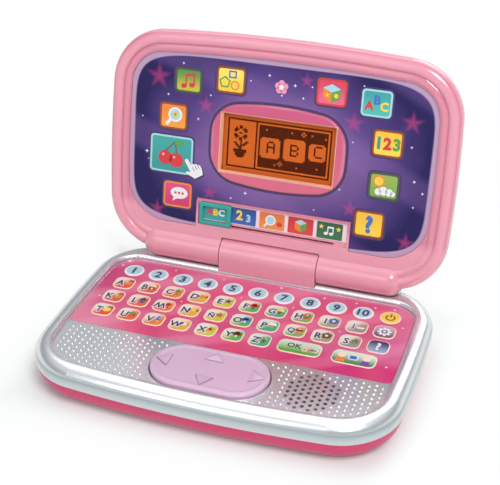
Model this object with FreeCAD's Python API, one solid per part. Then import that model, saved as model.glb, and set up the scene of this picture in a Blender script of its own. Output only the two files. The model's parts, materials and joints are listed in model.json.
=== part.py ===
import FreeCAD, Part
import math
import os

# Toy laptop computer, in millimetres. The base is drawn about the middle of its footprint,
# with Z = 0 on the table. Lid pieces are drawn flat: X across, Y from the hinge axis towards
# the lid's top edge, Z out of the screen. The lid is then stood up on the hinge axis.

V = FreeCAD.Vector
ORIGIN = V(0, 0, 0)
ALONG_X = V(1, 0, 0)
UP = V(0, 0, 1)

# Base casing
base_width = 237.0
base_depth = 166.0
base_side_bow = 1000.0
base_front_bow = 860.0
base_corner = 40.0
base_wall = 2.0
bottom_wall = 2.6
bottom_height = 16.5
bottom_round = 16.0
bottom_step = 0.6
rim_height = 12.2
rim_roll = 8.5
rim_band = 14.0
seam_tongue = 1.5
fit_gap = 0.15
cut_past = 1.0

# Deck and keyboard
well_inset = 11.8
well_depth = 3.5
well_round = 2.4
well_rear_corner = 17.0
deck_thickness = 2.5
overlay_front = 58.5
overlay_gap = 0.6
overlay_corner = 3.0
overlay_thickness = 0.5
overlay_proud = 0.3
membrane_sheet = 0.2
membrane_spacer = 0.25
membrane_margin = 1.0
key_columns = 11
key_rows = 4
key_pitch_x = 18.0
key_pitch_y = 16.75
key_window = 9.0
first_row_drop = 15.4

# Speaker and its grille
speaker_x = 63.6
speaker_from_front = 35.7
speaker_radius = 18.5
speaker_depth = 7.0
speaker_wall = 0.8
speaker_rib = 1.5
magnet_radius = 9.5
magnet_height = 5.0
grille_radius = 17.0
grille_hole = 1.2
grille_pitch_x = 4.05
grille_pitch_y = 4.37
grille_shift_x = 1.62
grille_shift_y = 0.7

# Cursor pad
pad_length = 75.0
pad_width = 41.0
pad_from_front = 34.8
pad_proud = 3.0
pad_plate = 2.0
pad_wall = 1.8
pad_gap = 0.8
pad_edge_round = 1.6
pad_flange = 2.0
pad_flange_height = 1.3
pad_flange_drop = 2.7
pad_lip_width = 1.8
pad_lip_height = 0.6
pad_lip_round = 0.5
arrow_size = 9.0
arrow_height = 0.9
arrow_spread_x = 29.6
arrow_spread_y = 12.0
pivot_ball = 3.0
pivot_gap = 0.3
pivot_drop = 2.2
pivot_post = 4.5
mat_thickness = 1.2
dome_radius = 4.5
dome_top_radius = 3.1
dome_height = 1.6
dome_travel = 1.7
cursor_board_drop = 5.4
board_thickness = 1.6

# Hinge
hinge_setback = 13.0
closed_gap = 0.5
barrel_radius = 11.0
barrel_wall = 2.0
barrel_end = 92.0
barrel_end_round = 9.5
block_half = 34.0
hinge_gap = 0.6
trough_gap = 0.8
notch_gap = 0.4
end_wall = 3.0
bush_radius = 3.5
bush_bore = 2.0
bush_length = 14.0
bush_gap = 0.05
stop_inner = 5.5
stop_outer = 8.5
stop_height = 2.3
stop_half_angle = 15.0
stop_gap = 0.3
stop_gap_angle = 2.5
lid_lean = 11.93
closed_angle = 180.0

# Lid casing
lid_overhang = 1.0
lid_setback = 2.8
lid_foot = 8.0
lid_side_bow = 1000.0
lid_top_bow = 1250.0
lid_corner = 38.0
lid_wall = 2.0
lid_crest = 7.6
lid_roll = 5.2
crease_inset = 8.9
crease_height = 5.9
ridge_inset = 11.2
ridge_height = 6.6
lid_band = 13.6
lid_back = 6.9
plate_under = 2.0
panel_seat = 4.0
panel_inset = 14.0
panel_foot = 16.6
panel_foot_corner = 28.0
sheet_thickness = 0.6

# Screen
screen_half_width = 38.15
screen_half_height = 19.2
screen_rise = 61.5
bezel_half_width = 46.0
bezel_half_height = 28.5
bezel_side_bow = 160.0
bezel_top_bow = 200.0
bezel_corner = 20.0
bezel_proud = 2.4
bezel_round = 1.4
pane_border = 2.0
pane_thickness = 1.0
glass_border = 3.5
glass_thickness = 2.4
holder_wall = 4.0
holder_back = 1.2
lid_board_thickness = 1.2

# Selector
tray_half = 52.2
tray_foot = 18.8
tray_head = 35.2
tray_wall = 1.6
tray_corner = 2.0
strip_foot = 22.2
slider_width = 23.0
slider_bar = 2.7
slider_thickness = 2.1
slider_travel = 80.0
slider_gap = 0.3
neck_width = 6.0
neck_depth = 0.8
wiper_width = 14.0
wiper_height = 7.0
wiper_thickness = 1.2

# Fasteners and feet
screw_radius = 1.25
screw_head_radius = 2.8
screw_head_height = 1.8
screw_clearance = 0.3
screw_grip = 10.0
boss_radius = 3.4
tower_radius = 4.6
tower_top = 10.0
head_recess = 3.0
boss_from_side = 20.0
boss_from_front = 19.0
boss_from_rear = 28.0
front_boss_x = 48.0
middle_boss_y = -22.0
lid_screw_from_side = 22.0
lid_screw_from_top = 20.0
lid_screw_row = 22.0
lid_head_recess = 2.2
foot_radius = 6.0
foot_height = 1.5
foot_pocket = 0.8
foot_from_side = 33.0
foot_from_end = 33.0

# Battery bay
cell_radius = 7.25
cell_length = 49.2
cell_nub_radius = 2.7
cell_nub_length = 1.3
cell_count = 3
cell_pitch = 14.9
cell_clearance = 0.3
contact_size = 10.0
contact_plate = 0.4
contact_reach = 1.75
bay_x = 45.0
bay_y = 22.0
bay_wall = 1.6
door_thickness = 2.0
door_gap = 0.3
door_tab = 12.0
door_tab_half = 7.0
door_ledge = 1.5

# Boards and wires
main_board_length = 76.0
main_board_width = 60.0
main_board_y = 18.0
main_board_rise = 8.0
board_gap = 3.0
board_boss = 3.0
board_boss_inset = 6.0
chip_radius = 9.0
chip_top_radius = 5.4
chip_height = 1.6
wire_radius = 1.0
wire_bend = 6.0
wire_meet = 50.0

# Levels and places that follow from the sizes above
half_width = base_width / 2
half_depth = base_depth / 2
shell_bottom = foot_height
seam = shell_bottom + bottom_height
rim_top = seam + rim_height
deck = rim_top - well_depth
deck_under = deck - deck_thickness
floor_top = shell_bottom + bottom_wall
overlay_top = deck + overlay_proud
hinge_y = half_depth - hinge_setback
hinge_z = rim_top + closed_gap + lid_crest
well_rear = hinge_y - barrel_radius - hinge_gap
overlay_edge = -half_depth + overlay_front
pad_y = -half_depth + pad_from_front
speaker_y = -half_depth + speaker_from_front
pad_top = deck + pad_proud
pivot_z = deck_under - pivot_drop
lid_half_width = half_width + lid_overhang / 2
lid_reach = hinge_y + half_depth - lid_setback
screen_u = panel_foot + screen_rise
wire_turn = wire_meet + wire_bend * 2
case_screw_seat = shell_bottom + head_recess
lid_screw_seat = -lid_back + lid_head_recess
case_screw_places = [
    (side * x, y)
    for side in (-1, 1)
    for x, y in (
        (half_width - boss_from_side, half_depth - boss_from_rear),
        (half_width - boss_from_side, middle_boss_y),
        (front_boss_x, -half_depth + boss_from_front),
    )
]
lid_screw_places = [
    (side * (lid_half_width - lid_screw_from_side), u)
    for side in (-1, 1)
    for u in (lid_screw_row, lid_reach - lid_screw_from_top)
]
arrow_places = [(-arrow_spread_x, 0, 180), (arrow_spread_x, 0, 0),
                (0, arrow_spread_y, 90), (0, -arrow_spread_y, 270)]


def meet(first, first_radius, second, second_radius, side):
    """The point at both radii from two centres, on the given side in Y."""
    between = second - first
    along = (first_radius ** 2 - second_radius ** 2 + between.Length ** 2) / (2 * between.Length)
    across = math.sqrt(first_radius ** 2 - along ** 2)
    foot = first + between * (along / between.Length)
    normal = V(-between.y, between.x, 0) * (across / between.Length)
    return max((foot + normal, foot - normal), key=lambda point: side * point.y)


def mirrored(point):
    return V(-point.x, point.y, point.z)


class Outline:
    """A rounded rectangle with bowed sides. A front or rear bow of None is a straight edge."""

    def __init__(self, half, front, rear, middle, side_bow, front_bow, rear_bow, front_corner, rear_corner):
        self.half = half
        self.front = front
        self.rear = rear
        self.middle = middle
        self.side_bow = side_bow
        self.front_bow = front_bow
        self.rear_bow = rear_bow
        self.front_corner = front_corner
        self.rear_corner = rear_corner

    def inset(self, distance):
        """The same outline drawn in by a distance all round."""
        front_bow = self.front_bow and self.front_bow - distance
        rear_bow = self.rear_bow and self.rear_bow - distance
        return Outline(self.half - distance, self.front + distance, self.rear - distance, self.middle,
                       self.side_bow - distance, front_bow, rear_bow,
                       self.front_corner - distance, self.rear_corner - distance)

    def corner(self, edge, bow, radius, inward):
        """The right-hand corner: its arc's centre, where it leaves the side, where it meets the edge."""
        side_centre = V(self.half - self.side_bow, self.middle, 0)
        side_reach = self.side_bow - radius
        if bow is None:
            y = edge + inward * radius
            x = side_centre.x + math.sqrt(side_reach ** 2 - (y - self.middle) ** 2)
            centre = V(x, y, 0)
            edge_point = V(x, edge, 0)
        else:
            edge_centre = V(0, edge + inward * bow, 0)
            centre = meet(side_centre, side_reach, edge_centre, bow - radius, -inward)
            edge_point = edge_centre + (centre - edge_centre).normalize() * bow
        side_point = side_centre + (centre - side_centre).normalize() * self.side_bow
        return centre, side_point, edge_point

    def spans(self):
        """Each stretch, anticlockwise from the right side, as centre (None if straight), start, end."""
        front_centre, front_side, front_edge = self.corner(self.front, self.front_bow, self.front_corner, 1)
        rear_centre, rear_side, rear_edge = self.corner(self.rear, self.rear_bow, self.rear_corner, -1)
        side_centre = V(self.half - self.side_bow, self.middle, 0)
        front_bow_centre = self.front_bow and V(0, self.front + self.front_bow, 0)
        rear_bow_centre = self.rear_bow and V(0, self.rear - self.rear_bow, 0)
        return [
            (side_centre, front_side, rear_side),
            (rear_centre, rear_side, rear_edge),
            (rear_bow_centre, rear_edge, mirrored(rear_edge)),
            (mirrored(rear_centre), mirrored(rear_edge), mirrored(rear_side)),
            (mirrored(side_centre), mirrored(rear_side), mirrored(front_side)),
            (mirrored(front_centre), mirrored(front_side), mirrored(front_edge)),
            (front_bow_centre, mirrored(front_edge), front_edge),
            (front_centre, front_edge, front_side),
        ]

    def prism(self, low, high):
        """The solid between two heights."""
        edges = []
        for centre, start, end in self.spans():
            if centre is None:
                edges.append(Part.makeLine(start, end))
            else:
                out = ((start - centre) + (end - centre)).normalize()
                middle = centre + out * (start - centre).Length
                edges.append(Part.Arc(start, middle, end).toShape())
        face = Part.Face(Part.Wire(edges))
        face.translate(UP * low)
        return face.extrude(UP * (high - low))

    def ring(self, section):
        """Sweep a closed section round the outline. The section is drawn as inset and height."""
        pieces = []
        for centre, start, end in self.spans():
            out = (start - centre).normalize()
            radius = (start - centre).Length
            turn = math.degrees((start - centre).getAngle(end - centre))
            corners = section_face(section, lambda s, z: centre + out * (radius - s) + UP * z)
            pieces.append(corners.revolve(centre, UP, turn))
        return pieces[0].fuse(pieces[1:])


def section_face(steps, place):
    """A face from steps: a pair is a line to that point, four numbers an arc through one to the next."""
    here = place(*steps[0])
    edges = []
    for step in steps[1:] + steps[:1]:
        there = place(*step[-2:])
        if len(step) == 4:
            edges.append(Part.Arc(here, place(*step[:2]), there).toShape())
        else:
            edges.append(Part.makeLine(here, there))
        here = there
    return Part.Face(Part.Wire(edges))


def arc(centre, radius, middle, end):
    """An arc step of a section, by its centre, radius and two angles in degrees."""
    points = []
    for angle in (middle, end):
        points.append(centre[0] + radius * math.cos(math.radians(angle)))
        points.append(centre[1] + radius * math.sin(math.radians(angle)))
    return tuple(points)


def box(x, y, z):
    """A box between pairs of limits."""
    return Part.makeBox(x[1] - x[0], y[1] - y[0], z[1] - z[0], V(x[0], y[0], z[0]))


def post(x, y, radius, low, high):
    return Part.makeCylinder(radius, high - low, V(x, y, low))


def rounded_box(half_x, half_y, corner, low, high, x=0, y=0):
    """A box with rounded upright corners about a centre."""
    block = box((x - half_x, x + half_x), (y - half_y, y + half_y), (low, high))
    upright = [edge for edge in block.Edges if abs(edge.tangentAt(edge.FirstParameter).z) > 0.5]
    return block.makeFillet(corner, upright)


def stadium(half_x, half_y, low, high, y):
    """A slot-shaped prism with round ends."""
    reach = half_x - half_y
    ends = [post(side * reach, y, half_y, low, high) for side in (-1, 1)]
    middle = box((-reach, reach), (y - half_y, y + half_y), (low, high))
    return middle.fuse(ends).removeSplitter()


def round_rim(shape, height, radius):
    """Round every edge of a solid that lies at one height."""
    rim = [edge for edge in shape.Edges if all(abs(v.Z - height) < 1e-6 for v in edge.Vertexes)]
    return shape.makeFillet(radius, rim)


def both_sides(shape):
    """A shape and its mirror image across the middle."""
    return [shape, shape.mirror(ORIGIN, ALONG_X)]


def along_hinge(low, high, radius):
    """A cylinder on the hinge axis of the flat lid frame."""
    return Part.makeCylinder(radius, high - low, V(low, 0, 0), ALONG_X)


def on_hinge(shape):
    """Carry a shape from the lid's hinge axis, unturned, to its place on the base."""
    moved = shape.copy()
    moved.translate(V(0, hinge_y, hinge_z))
    return moved


def opened(shape):
    """Carry a lid piece from its flat frame to the open lid."""
    turned = shape.copy()
    turned.rotate(ORIGIN, ALONG_X, 90 - lid_lean)
    return on_hinge(turned)


def hinge_sector(inner, outer, low, high, start, turn):
    """Part of a ring about the hinge axis; angles run from +Y towards +Z."""
    face = section_face([(low, inner), (high, inner), (high, outer), (low, outer)], lambda x, r: V(x, r, 0))
    face.rotate(ORIGIN, ALONG_X, start)
    return face.revolve(ORIGIN, ALONG_X, turn)


def screws(places, seat, grip):
    """Pan-head screws driven upwards, heads bearing on the seat."""
    solids = []
    for x, y in places:
        head = post(x, y, screw_head_radius, seat - screw_head_height, seat)
        shank = post(x, y, screw_radius, seat, seat + grip)
        solids.append(head.fuse(shank).removeSplitter())
    return Part.makeCompound(solids)


def wire_run(points):
    """A round wire through straight runs with equal bends at the corners between them."""
    edges = []
    here = points[0]
    for before, corner, after in zip(points, points[1:], points[2:]):
        into = (corner - before).normalize()
        away = (after - corner).normalize()
        start = corner - into * wire_bend
        end = corner + away * wire_bend
        middle = corner + (away - into) * (wire_bend * (1 - math.sqrt(0.5)))
        edges.append(Part.makeLine(here, start))
        edges.append(Part.Arc(start, middle, end).toShape())
        here = end
    edges.append(Part.makeLine(here, points[-1]))
    first = (points[1] - points[0]).normalize()
    ring = Part.Wire(Part.makeCircle(wire_radius, points[0], first))
    return Part.Wire(edges).makePipeShell([ring], True, False)


base_outline = Outline(half_width, -half_depth, half_depth, 0, base_side_bow, base_front_bow,
                       base_front_bow, base_corner, base_corner)
well_outline = base_outline.inset(well_inset)
well_outline.rear = well_rear
well_outline.rear_bow = None
well_outline.rear_corner = well_rear_corner
overlay_outline = well_outline.inset(overlay_gap)
overlay_outline.front = overlay_edge
overlay_outline.front_bow = None
overlay_outline.front_corner = overlay_corner
lid_outline = Outline(lid_half_width, -lid_foot, lid_reach, (lid_reach - lid_foot) / 2, lid_side_bow,
                      lid_top_bow, lid_top_bow, lid_corner, lid_corner)
panel_outline = lid_outline.inset(panel_inset)
panel_outline.front = panel_foot
panel_outline.front_bow = None
panel_outline.front_corner = panel_foot_corner
bezel_outline = Outline(bezel_half_width, screen_u - bezel_half_height, screen_u + bezel_half_height,
                        screen_u, bezel_side_bow, bezel_top_bow, bezel_top_bow, bezel_corner, bezel_corner)


def bay_size():
    """Half length, half width and top of the space that holds the cells."""
    half_length = (cell_length + cell_nub_length) / 2 + contact_plate + contact_reach + fit_gap
    half_across = ((cell_count - 1) * cell_pitch) / 2 + cell_radius + cell_clearance
    top = shell_bottom + door_thickness + 2 * cell_radius + 2 * cell_clearance
    return half_length, half_across, top


def cell_rows():
    """Middle of each cell across the bay, with the way its nub points."""
    first = bay_y - (cell_count - 1) * cell_pitch / 2
    return [(first + row * cell_pitch, 1 if row % 2 else -1) for row in range(cell_count)]


def door_solid(gap, low, high):
    """The door's plan with its screw tab, drawn in by a gap."""
    half_length, half_across, top = bay_size()
    front = bay_y - half_across
    plate = box((bay_x - half_length + gap, bay_x + half_length - gap),
                (front + gap, bay_y + half_across - gap), (low, high))
    tab = box((bay_x - door_tab_half + gap, bay_x + door_tab_half - gap),
              (front - door_tab + gap, front + 2 * gap), (low, high))
    return plate.fuse(tab).removeSplitter()


def door_screw_place():
    half_length, half_across, top = bay_size()
    return bay_x, bay_y - half_across - door_tab / 2


def main_board_limits():
    left = -(half_width - boss_from_side - boss_radius - board_gap)
    front = main_board_y - main_board_width / 2
    return left, left + main_board_length, front, front + main_board_width


def main_board_bosses():
    left, right, front, rear = main_board_limits()
    return [(x, y) for x in (left + board_boss_inset, right - board_boss_inset)
            for y in (front + board_boss_inset, rear - board_boss_inset)]


def cursor_board_bosses():
    reach_x = pad_length / 2 - dome_radius
    reach_y = pad_width / 2 - dome_radius
    return [(x, pad_y + y) for x in (-reach_x, reach_x) for y in (-reach_y, reach_y)]


cursor_board_top = pivot_z - cursor_board_drop
main_board_low = floor_top + main_board_rise


def base_bottom_shell():
    """Pink tray of the base: rounded wall, bay for the cells, screw towers and board posts."""
    centre = (bottom_step + bottom_round, seam - (bottom_height - bottom_round))
    inner = bottom_round - bottom_wall
    section = [
        (bottom_step, seam),
        (bottom_step, centre[1]),
        arc(centre, bottom_round, 225, 270),
        (centre[0], floor_top),
        arc(centre, inner, 225, 180),
        (centre[0] - inner, seam + seam_tongue),
        (base_wall + fit_gap, seam + seam_tongue),
        (base_wall + fit_gap, seam),
    ]
    shell = base_outline.ring(section).fuse(base_outline.inset(centre[0]).prism(shell_bottom, floor_top))
    half_length, half_across, top = bay_size()
    bay_x_limits = (bay_x - half_length - bay_wall, bay_x + half_length + bay_wall)
    bay_y_limits = (bay_y - half_across - bay_wall, bay_y + half_across + bay_wall)
    added = [box(bay_x_limits, bay_y_limits, (shell_bottom, top + bay_wall))]
    tab_x, tab_y = door_screw_place()
    door_top = shell_bottom + door_thickness
    added.append(post(tab_x, tab_y, tower_radius, door_top, door_top + screw_grip))
    added += [post(x, y, tower_radius, floor_top - bottom_wall / 2, tower_top) for x, y in case_screw_places]
    added += [post(x, y, board_boss, floor_top, main_board_low) for x, y in main_board_bosses()]
    cursor_low = cursor_board_top - board_thickness
    added += [post(x, y, board_boss, floor_top, cursor_low) for x, y in cursor_board_bosses()]
    added.append(post(0, pad_y, pivot_post, floor_top, pivot_z - pivot_ball / 2))
    for side in (-1, 1):
        rib = side * block_half / 2
        added.append(box((rib - base_wall / 2, rib + base_wall / 2),
                         (hinge_y - barrel_radius, half_depth - centre[0]), (floor_top, seam)))
    shell = shell.fuse(added)
    removed = [box((bay_x - half_length, bay_x + half_length), (bay_y - half_across, bay_y + half_across),
                   (shell_bottom, top)),
               door_solid(0, shell_bottom, door_top),
               Part.makeSphere(pivot_ball + pivot_gap, V(0, pad_y, pivot_z)),
               post(tab_x, tab_y, screw_radius + fit_gap, door_top, door_top + screw_grip),
               block_notch()]
    for x, y in case_screw_places:
        removed.append(post(x, y, screw_head_radius + screw_clearance, shell_bottom, case_screw_seat))
        removed.append(post(x, y, screw_radius + screw_clearance, shell_bottom, tower_top))
    for x, y in foot_places():
        removed.append(post(x, y, foot_radius + fit_gap, shell_bottom, shell_bottom + foot_pocket))
    shell = shell.cut(removed)
    ledge_y = bay_y + half_across
    ledge = box((bay_x - half_length, bay_x + half_length), (ledge_y - door_ledge, ledge_y),
                (door_top, door_top + door_ledge))
    return shell.fuse(ledge).removeSplitter()


def block_notch():
    """The gap in the rear of the base that the hinge block stands in."""
    return box((-block_half - notch_gap, block_half + notch_gap),
               (hinge_y - barrel_radius - notch_gap, half_depth), (seam, rim_top))


def foot_places():
    x = half_width - foot_from_side
    y = half_depth - foot_from_end
    return [(-x, -y), (x, -y), (-x, y), (x, y)]


def rubber_feet():
    """Four round feet let into the underside."""
    feet = []
    for x, y in foot_places():
        foot = post(x, y, foot_radius, 0, shell_bottom + foot_pocket)
        feet.append(round_rim(foot, 0, foot_height / 2))
    return Part.makeCompound(feet)


def grille_holes():
    """Staggered columns of holes inside a round patch, offset a little from the speaker's middle."""
    reach = math.ceil(grille_radius / min(grille_pitch_x, grille_pitch_y)) + 1
    holes = []
    for column in range(-reach, reach + 1):
        for row in range(-reach, reach + 1):
            x = column * grille_pitch_x - grille_shift_x
            y = (row + (column % 2) / 2) * grille_pitch_y - grille_shift_y
            if math.hypot(x, y) <= grille_radius:
                holes.append(post(speaker_x + x, speaker_y + y, grille_hole,
                                  deck_under - cut_past, deck + cut_past))
    return holes


def base_top_shell():
    """Silver rim and deck: one rolled wall round a sunken well, with the hinge trough at the rear."""
    roll = (rim_roll, rim_top - rim_roll)
    section = [
        (0, seam),
        (0, roll[1]),
        arc(roll, rim_roll, 135, 90),
        (rim_band, rim_top),
        (rim_band, deck_under),
        (rim_roll, rim_top - base_wall),
        arc(roll, rim_roll - base_wall, 135, 180),
        (base_wall, seam),
    ]
    shell = base_outline.ring(section).fuse(base_outline.inset(rim_band).prism(deck_under, rim_top))
    shell = shell.cut(well_outline.prism(deck, rim_top))
    on_well = Part.makeCompound(well_outline.prism(deck, rim_top).Edges)
    rim = []
    for edge in shell.Edges:
        middle = edge.valueAt((edge.FirstParameter + edge.LastParameter) / 2)
        if abs(middle.z - rim_top) < 1e-6 and Part.Vertex(middle).distToShape(on_well)[0] < 1e-4:
            rim.append(edge)
    shell = shell.makeFillet(well_round, rim)
    lip = stadium(pad_length / 2 + pad_gap + pad_lip_width, pad_width / 2 + pad_gap + pad_lip_width,
                  deck_under, deck + pad_lip_height, pad_y)
    lip = round_rim(lip, deck + pad_lip_height, pad_lip_round)
    speaker_wall_outer = speaker_radius + fit_gap + speaker_rib
    added = [lip, post(speaker_x, speaker_y, speaker_wall_outer, deck_under - speaker_rib * 2, deck)]
    added += [post(x, y, boss_radius, tower_top, deck) for x, y in case_screw_places]
    shell = shell.fuse(added)
    trough = along_hinge(block_half, barrel_end + trough_gap, barrel_radius + trough_gap)
    trough = round_end(trough, barrel_end + trough_gap, barrel_end_round + trough_gap)
    pocket = overlay_outline.inset(-fit_gap)
    pocket_floor = overlay_top - overlay_thickness - 2 * membrane_sheet - membrane_spacer
    removed = both_sides(on_hinge(trough)) + [
        block_notch(),
        pocket.prism(pocket_floor, deck + cut_past),
        stadium(pad_length / 2 + pad_gap, pad_width / 2 + pad_gap, deck_under - cut_past, pad_top, pad_y),
        post(speaker_x, speaker_y, speaker_radius + fit_gap, deck_under - speaker_rib * 2, deck_under),
    ]
    removed += [post(x, y, screw_radius + fit_gap, tower_top, deck_under) for x, y in case_screw_places]
    return shell.cut(removed + grille_holes()).removeSplitter()


def round_end(cylinder, x, radius):
    """Round the rim of one end of a cylinder that lies along X."""
    rim = [edge for edge in cylinder.Edges if all(abs(v.X - x) < 1e-6 for v in edge.Vertexes)]
    return cylinder.makeFillet(radius, rim)


def overlay_sheet(margin, top, thickness):
    return overlay_outline.inset(margin).prism(top - thickness, top)


def membrane_spacer_sheet(top):
    """Spacer with one window under each key position."""
    sheet = overlay_sheet(membrane_margin, top, membrane_spacer)
    windows = []
    half = key_window / 2
    for column in range(key_columns):
        for row in range(key_rows):
            x = (column - (key_columns - 1) / 2) * key_pitch_x
            y = well_rear - first_row_drop - row * key_pitch_y
            windows.append(box((x - half, x + half), (y - half, y + half), (top - membrane_spacer, top)))
    return sheet.cut(windows)


def cursor_pad():
    """Lilac rocker: a hollow cap with a retaining flange, four plungers and a cup for the pivot ball."""
    half_x = pad_length / 2
    half_y = pad_width / 2
    plate_low = pad_top - pad_plate
    flange_top = deck_under - pad_flange_drop
    low = flange_top - pad_flange_height
    cap = stadium(half_x, half_y, low, pad_top, pad_y)
    cap = round_rim(cap, pad_top, pad_edge_round)
    flange = stadium(half_x + pad_flange, half_y + pad_flange, low, flange_top, pad_y)
    hollow = stadium(half_x - pad_wall, half_y - pad_wall, low, plate_low, pad_y)
    pad = cap.fuse(flange).cut(hollow)
    plunger_low = cursor_board_top + mat_thickness + dome_height + dome_travel
    added = [post(0, pad_y, pivot_post, pivot_z + pivot_ball / 2, plate_low)]
    for x, y, angle in arrow_places:
        added.append(post(x, pad_y + y, dome_radius / 2, plunger_low, plate_low))
        added.append(arrowhead(x, pad_y + y, angle))
    cup = Part.makeSphere(pivot_ball + pivot_gap, V(0, pad_y, pivot_z))
    return pad.fuse(added).cut(cup).removeSplitter()


def arrowhead(x, y, angle):
    """A raised triangle that points outwards, with drafted sides."""
    faces = []
    for size, height in ((arrow_size, 0), (arrow_size - arrow_height, arrow_height)):
        tip = V(size / 2, 0, height)
        ends = [V(-size / 4, side * size / 2, height) for side in (1, -1)]
        faces.append(Part.makePolygon([tip] + ends + [tip]))
    solid = Part.makeLoft(faces, True, True)
    solid.rotate(ORIGIN, UP, angle)
    solid.translate(V(x, y, pad_top))
    return solid


def cursor_board():
    board = rounded_box(pad_length / 2 + pad_flange, pad_width / 2 + pad_flange, base_wall,
                        cursor_board_top - board_thickness, cursor_board_top, 0, pad_y)
    return board.cut(post(0, pad_y, pivot_post + screw_clearance, 0, rim_top))


def cursor_rubber_mat():
    """Rubber sheet with a dome under each arrow."""
    low = cursor_board_top
    top = low + mat_thickness
    mat = rounded_box(pad_length / 2, pad_width / 2, base_wall, low, top, 0, pad_y)
    domes = [Part.makeCone(dome_radius, dome_top_radius, dome_height, V(x, pad_y + y, top))
             for x, y, angle in arrow_places]
    return mat.fuse(domes).cut(post(0, pad_y, pivot_post + screw_clearance, 0, rim_top)).removeSplitter()


def main_board():
    left, right, front, rear = main_board_limits()
    board = box((left, right), (front, rear), (main_board_low, main_board_low + board_thickness))
    chip = Part.makeCone(chip_radius, chip_top_radius, chip_height,
                         V((left + right) / 2, main_board_y, main_board_low + board_thickness))
    holes = [post(x, y, screw_radius + fit_gap, main_board_low, rim_top) for x, y in main_board_bosses()]
    return board.fuse(chip).cut(holes)


def main_board_screws():
    """Short screws driven down into the board's posts."""
    solids = []
    top = main_board_low + board_thickness
    for x, y in main_board_bosses():
        head = post(x, y, screw_head_radius - fit_gap, top, top + screw_head_height)
        solids.append(head.fuse(post(x, y, screw_radius, main_board_low, top)).removeSplitter())
    return Part.makeCompound(solids)


def turned_about_speaker(steps):
    face = section_face(steps, lambda r, z: V(speaker_x + r, speaker_y, z))
    return face.revolve(V(speaker_x, speaker_y, 0), UP, 360)


def speaker_frame():
    """Pressed basket: flange under the deck, conical wall, flat back."""
    back = deck_under - speaker_depth
    throat = speaker_radius - speaker_depth
    return turned_about_speaker([
        (speaker_radius, deck_under),
        (speaker_radius, deck_under - speaker_wall),
        (throat, back),
        (0, back),
        (0, back + speaker_wall),
        (throat - speaker_wall, back + speaker_wall),
        (speaker_radius - speaker_rib * 2, deck_under - speaker_wall),
        (speaker_radius - speaker_rib * 2, deck_under),
    ])


def speaker_cone():
    """Thin cone with a shallow dome, hung inside the basket."""
    outer = speaker_radius - speaker_rib * 2 - fit_gap
    top = deck_under - speaker_wall
    low = deck_under - speaker_depth / 2
    inner = outer / 3
    return turned_about_speaker([
        (outer, top),
        (inner, low),
        (0, low + speaker_wall),
        (0, low + 2 * speaker_wall),
        (inner, low + speaker_wall),
        (outer - speaker_wall, top),
    ])


def speaker_magnet():
    back = deck_under - speaker_depth
    return post(speaker_x, speaker_y, magnet_radius, back - magnet_height, back)


def battery_door():
    """Screwed door flush with the underside."""
    door = door_solid(door_gap, shell_bottom, shell_bottom + door_thickness)
    x, y = door_screw_place()
    seat = shell_bottom + screw_head_height / 2
    recess = post(x, y, screw_head_radius + screw_clearance, shell_bottom, seat)
    return door.cut([recess, post(x, y, screw_radius + screw_clearance, 0, seam)])


def battery_door_screw():
    return screws([door_screw_place()], shell_bottom + screw_head_height / 2, screw_grip - screw_head_height)


def aa_cells():
    """Three AA cells side by side, turned end for end."""
    low = shell_bottom + door_thickness + cell_clearance
    solids = []
    for y, way in cell_rows():
        middle = bay_x - way * cell_nub_length / 2
        can_start = V(middle - cell_length / 2, y, low + cell_radius)
        nub_start = V(middle + way * cell_length / 2, y, low + cell_radius)
        can = Part.makeCylinder(cell_radius, cell_length, can_start, ALONG_X)
        nub = Part.makeCylinder(cell_nub_radius, cell_nub_length, nub_start, ALONG_X * way)
        solids.append(can.fuse(nub).removeSplitter())
    return Part.makeCompound(solids)


def battery_contacts():
    """Pressed contact plates with a raised boss at each end of each cell."""
    half_length, half_across, top = bay_size()
    height = shell_bottom + door_thickness + cell_clearance + cell_radius
    solids = []
    for y, way in cell_rows():
        for side in (-1, 1):
            wall = bay_x + side * half_length
            inner = wall - side * contact_plate
            plate = box((min(wall, inner), max(wall, inner)), (y - contact_size / 2, y + contact_size / 2),
                        (height - contact_size / 2, height + contact_size / 2))
            boss = Part.makeCone(contact_size / 3, contact_size / 6, contact_reach,
                                 V(inner, y, height), ALONG_X * -side)
            solids.append(plate.fuse(boss).removeSplitter())
    return Part.makeCompound(solids)


def hinge_block():
    """Pink bridge between the lid's barrels: rounded top, upright front and rear, stop lugs on its ends."""
    def profile(radius, low, half):
        steps = [(-radius, low), (-radius, 0), (0, radius, radius, 0), (radius, low)]
        face = section_face(steps, lambda y, z: V(-half, y, z))
        return face.extrude(ALONG_X * (2 * half))
    drop = seam - hinge_z
    block = profile(barrel_radius, drop, block_half)
    hollow = profile(barrel_radius - barrel_wall, drop, block_half - end_wall)
    lug = hinge_sector(stop_inner, stop_outer, block_half, block_half + stop_height,
                       -90 - stop_half_angle, 2 * stop_half_angle)
    bore = along_hinge(-block_half - cut_past, block_half + cut_past, bush_radius)
    return on_hinge(block.cut(hollow).fuse(both_sides(lug)).cut(bore).removeSplitter())


def hinge_bushes():
    """Two hollow bushes, held in the block and running in the lid's barrels."""
    start = block_half - end_wall
    end = start + bush_length
    bush = along_hinge(start, end, bush_radius).cut(along_hinge(start, end, bush_bore))
    return on_hinge(Part.makeCompound(both_sides(bush)))


def hinge_wires_base():
    """Wires from the hinge axis down into the base."""
    inside = block_half - end_wall - wire_bend * 2
    points = [V(-wire_meet, 0, 0), V(-inside, 0, 0), V(-inside, 0, floor_top + board_boss - hinge_z)]
    return on_hinge(wire_run(points))


def hinge_wires_lid():
    """Wires from the hinge axis up into the lid, behind the screen."""
    points = [V(-wire_meet, 0, 0), V(-wire_turn, 0, 0), V(-wire_turn, barrel_radius + wire_bend * 3, 0)]
    return wire_run(points)


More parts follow.
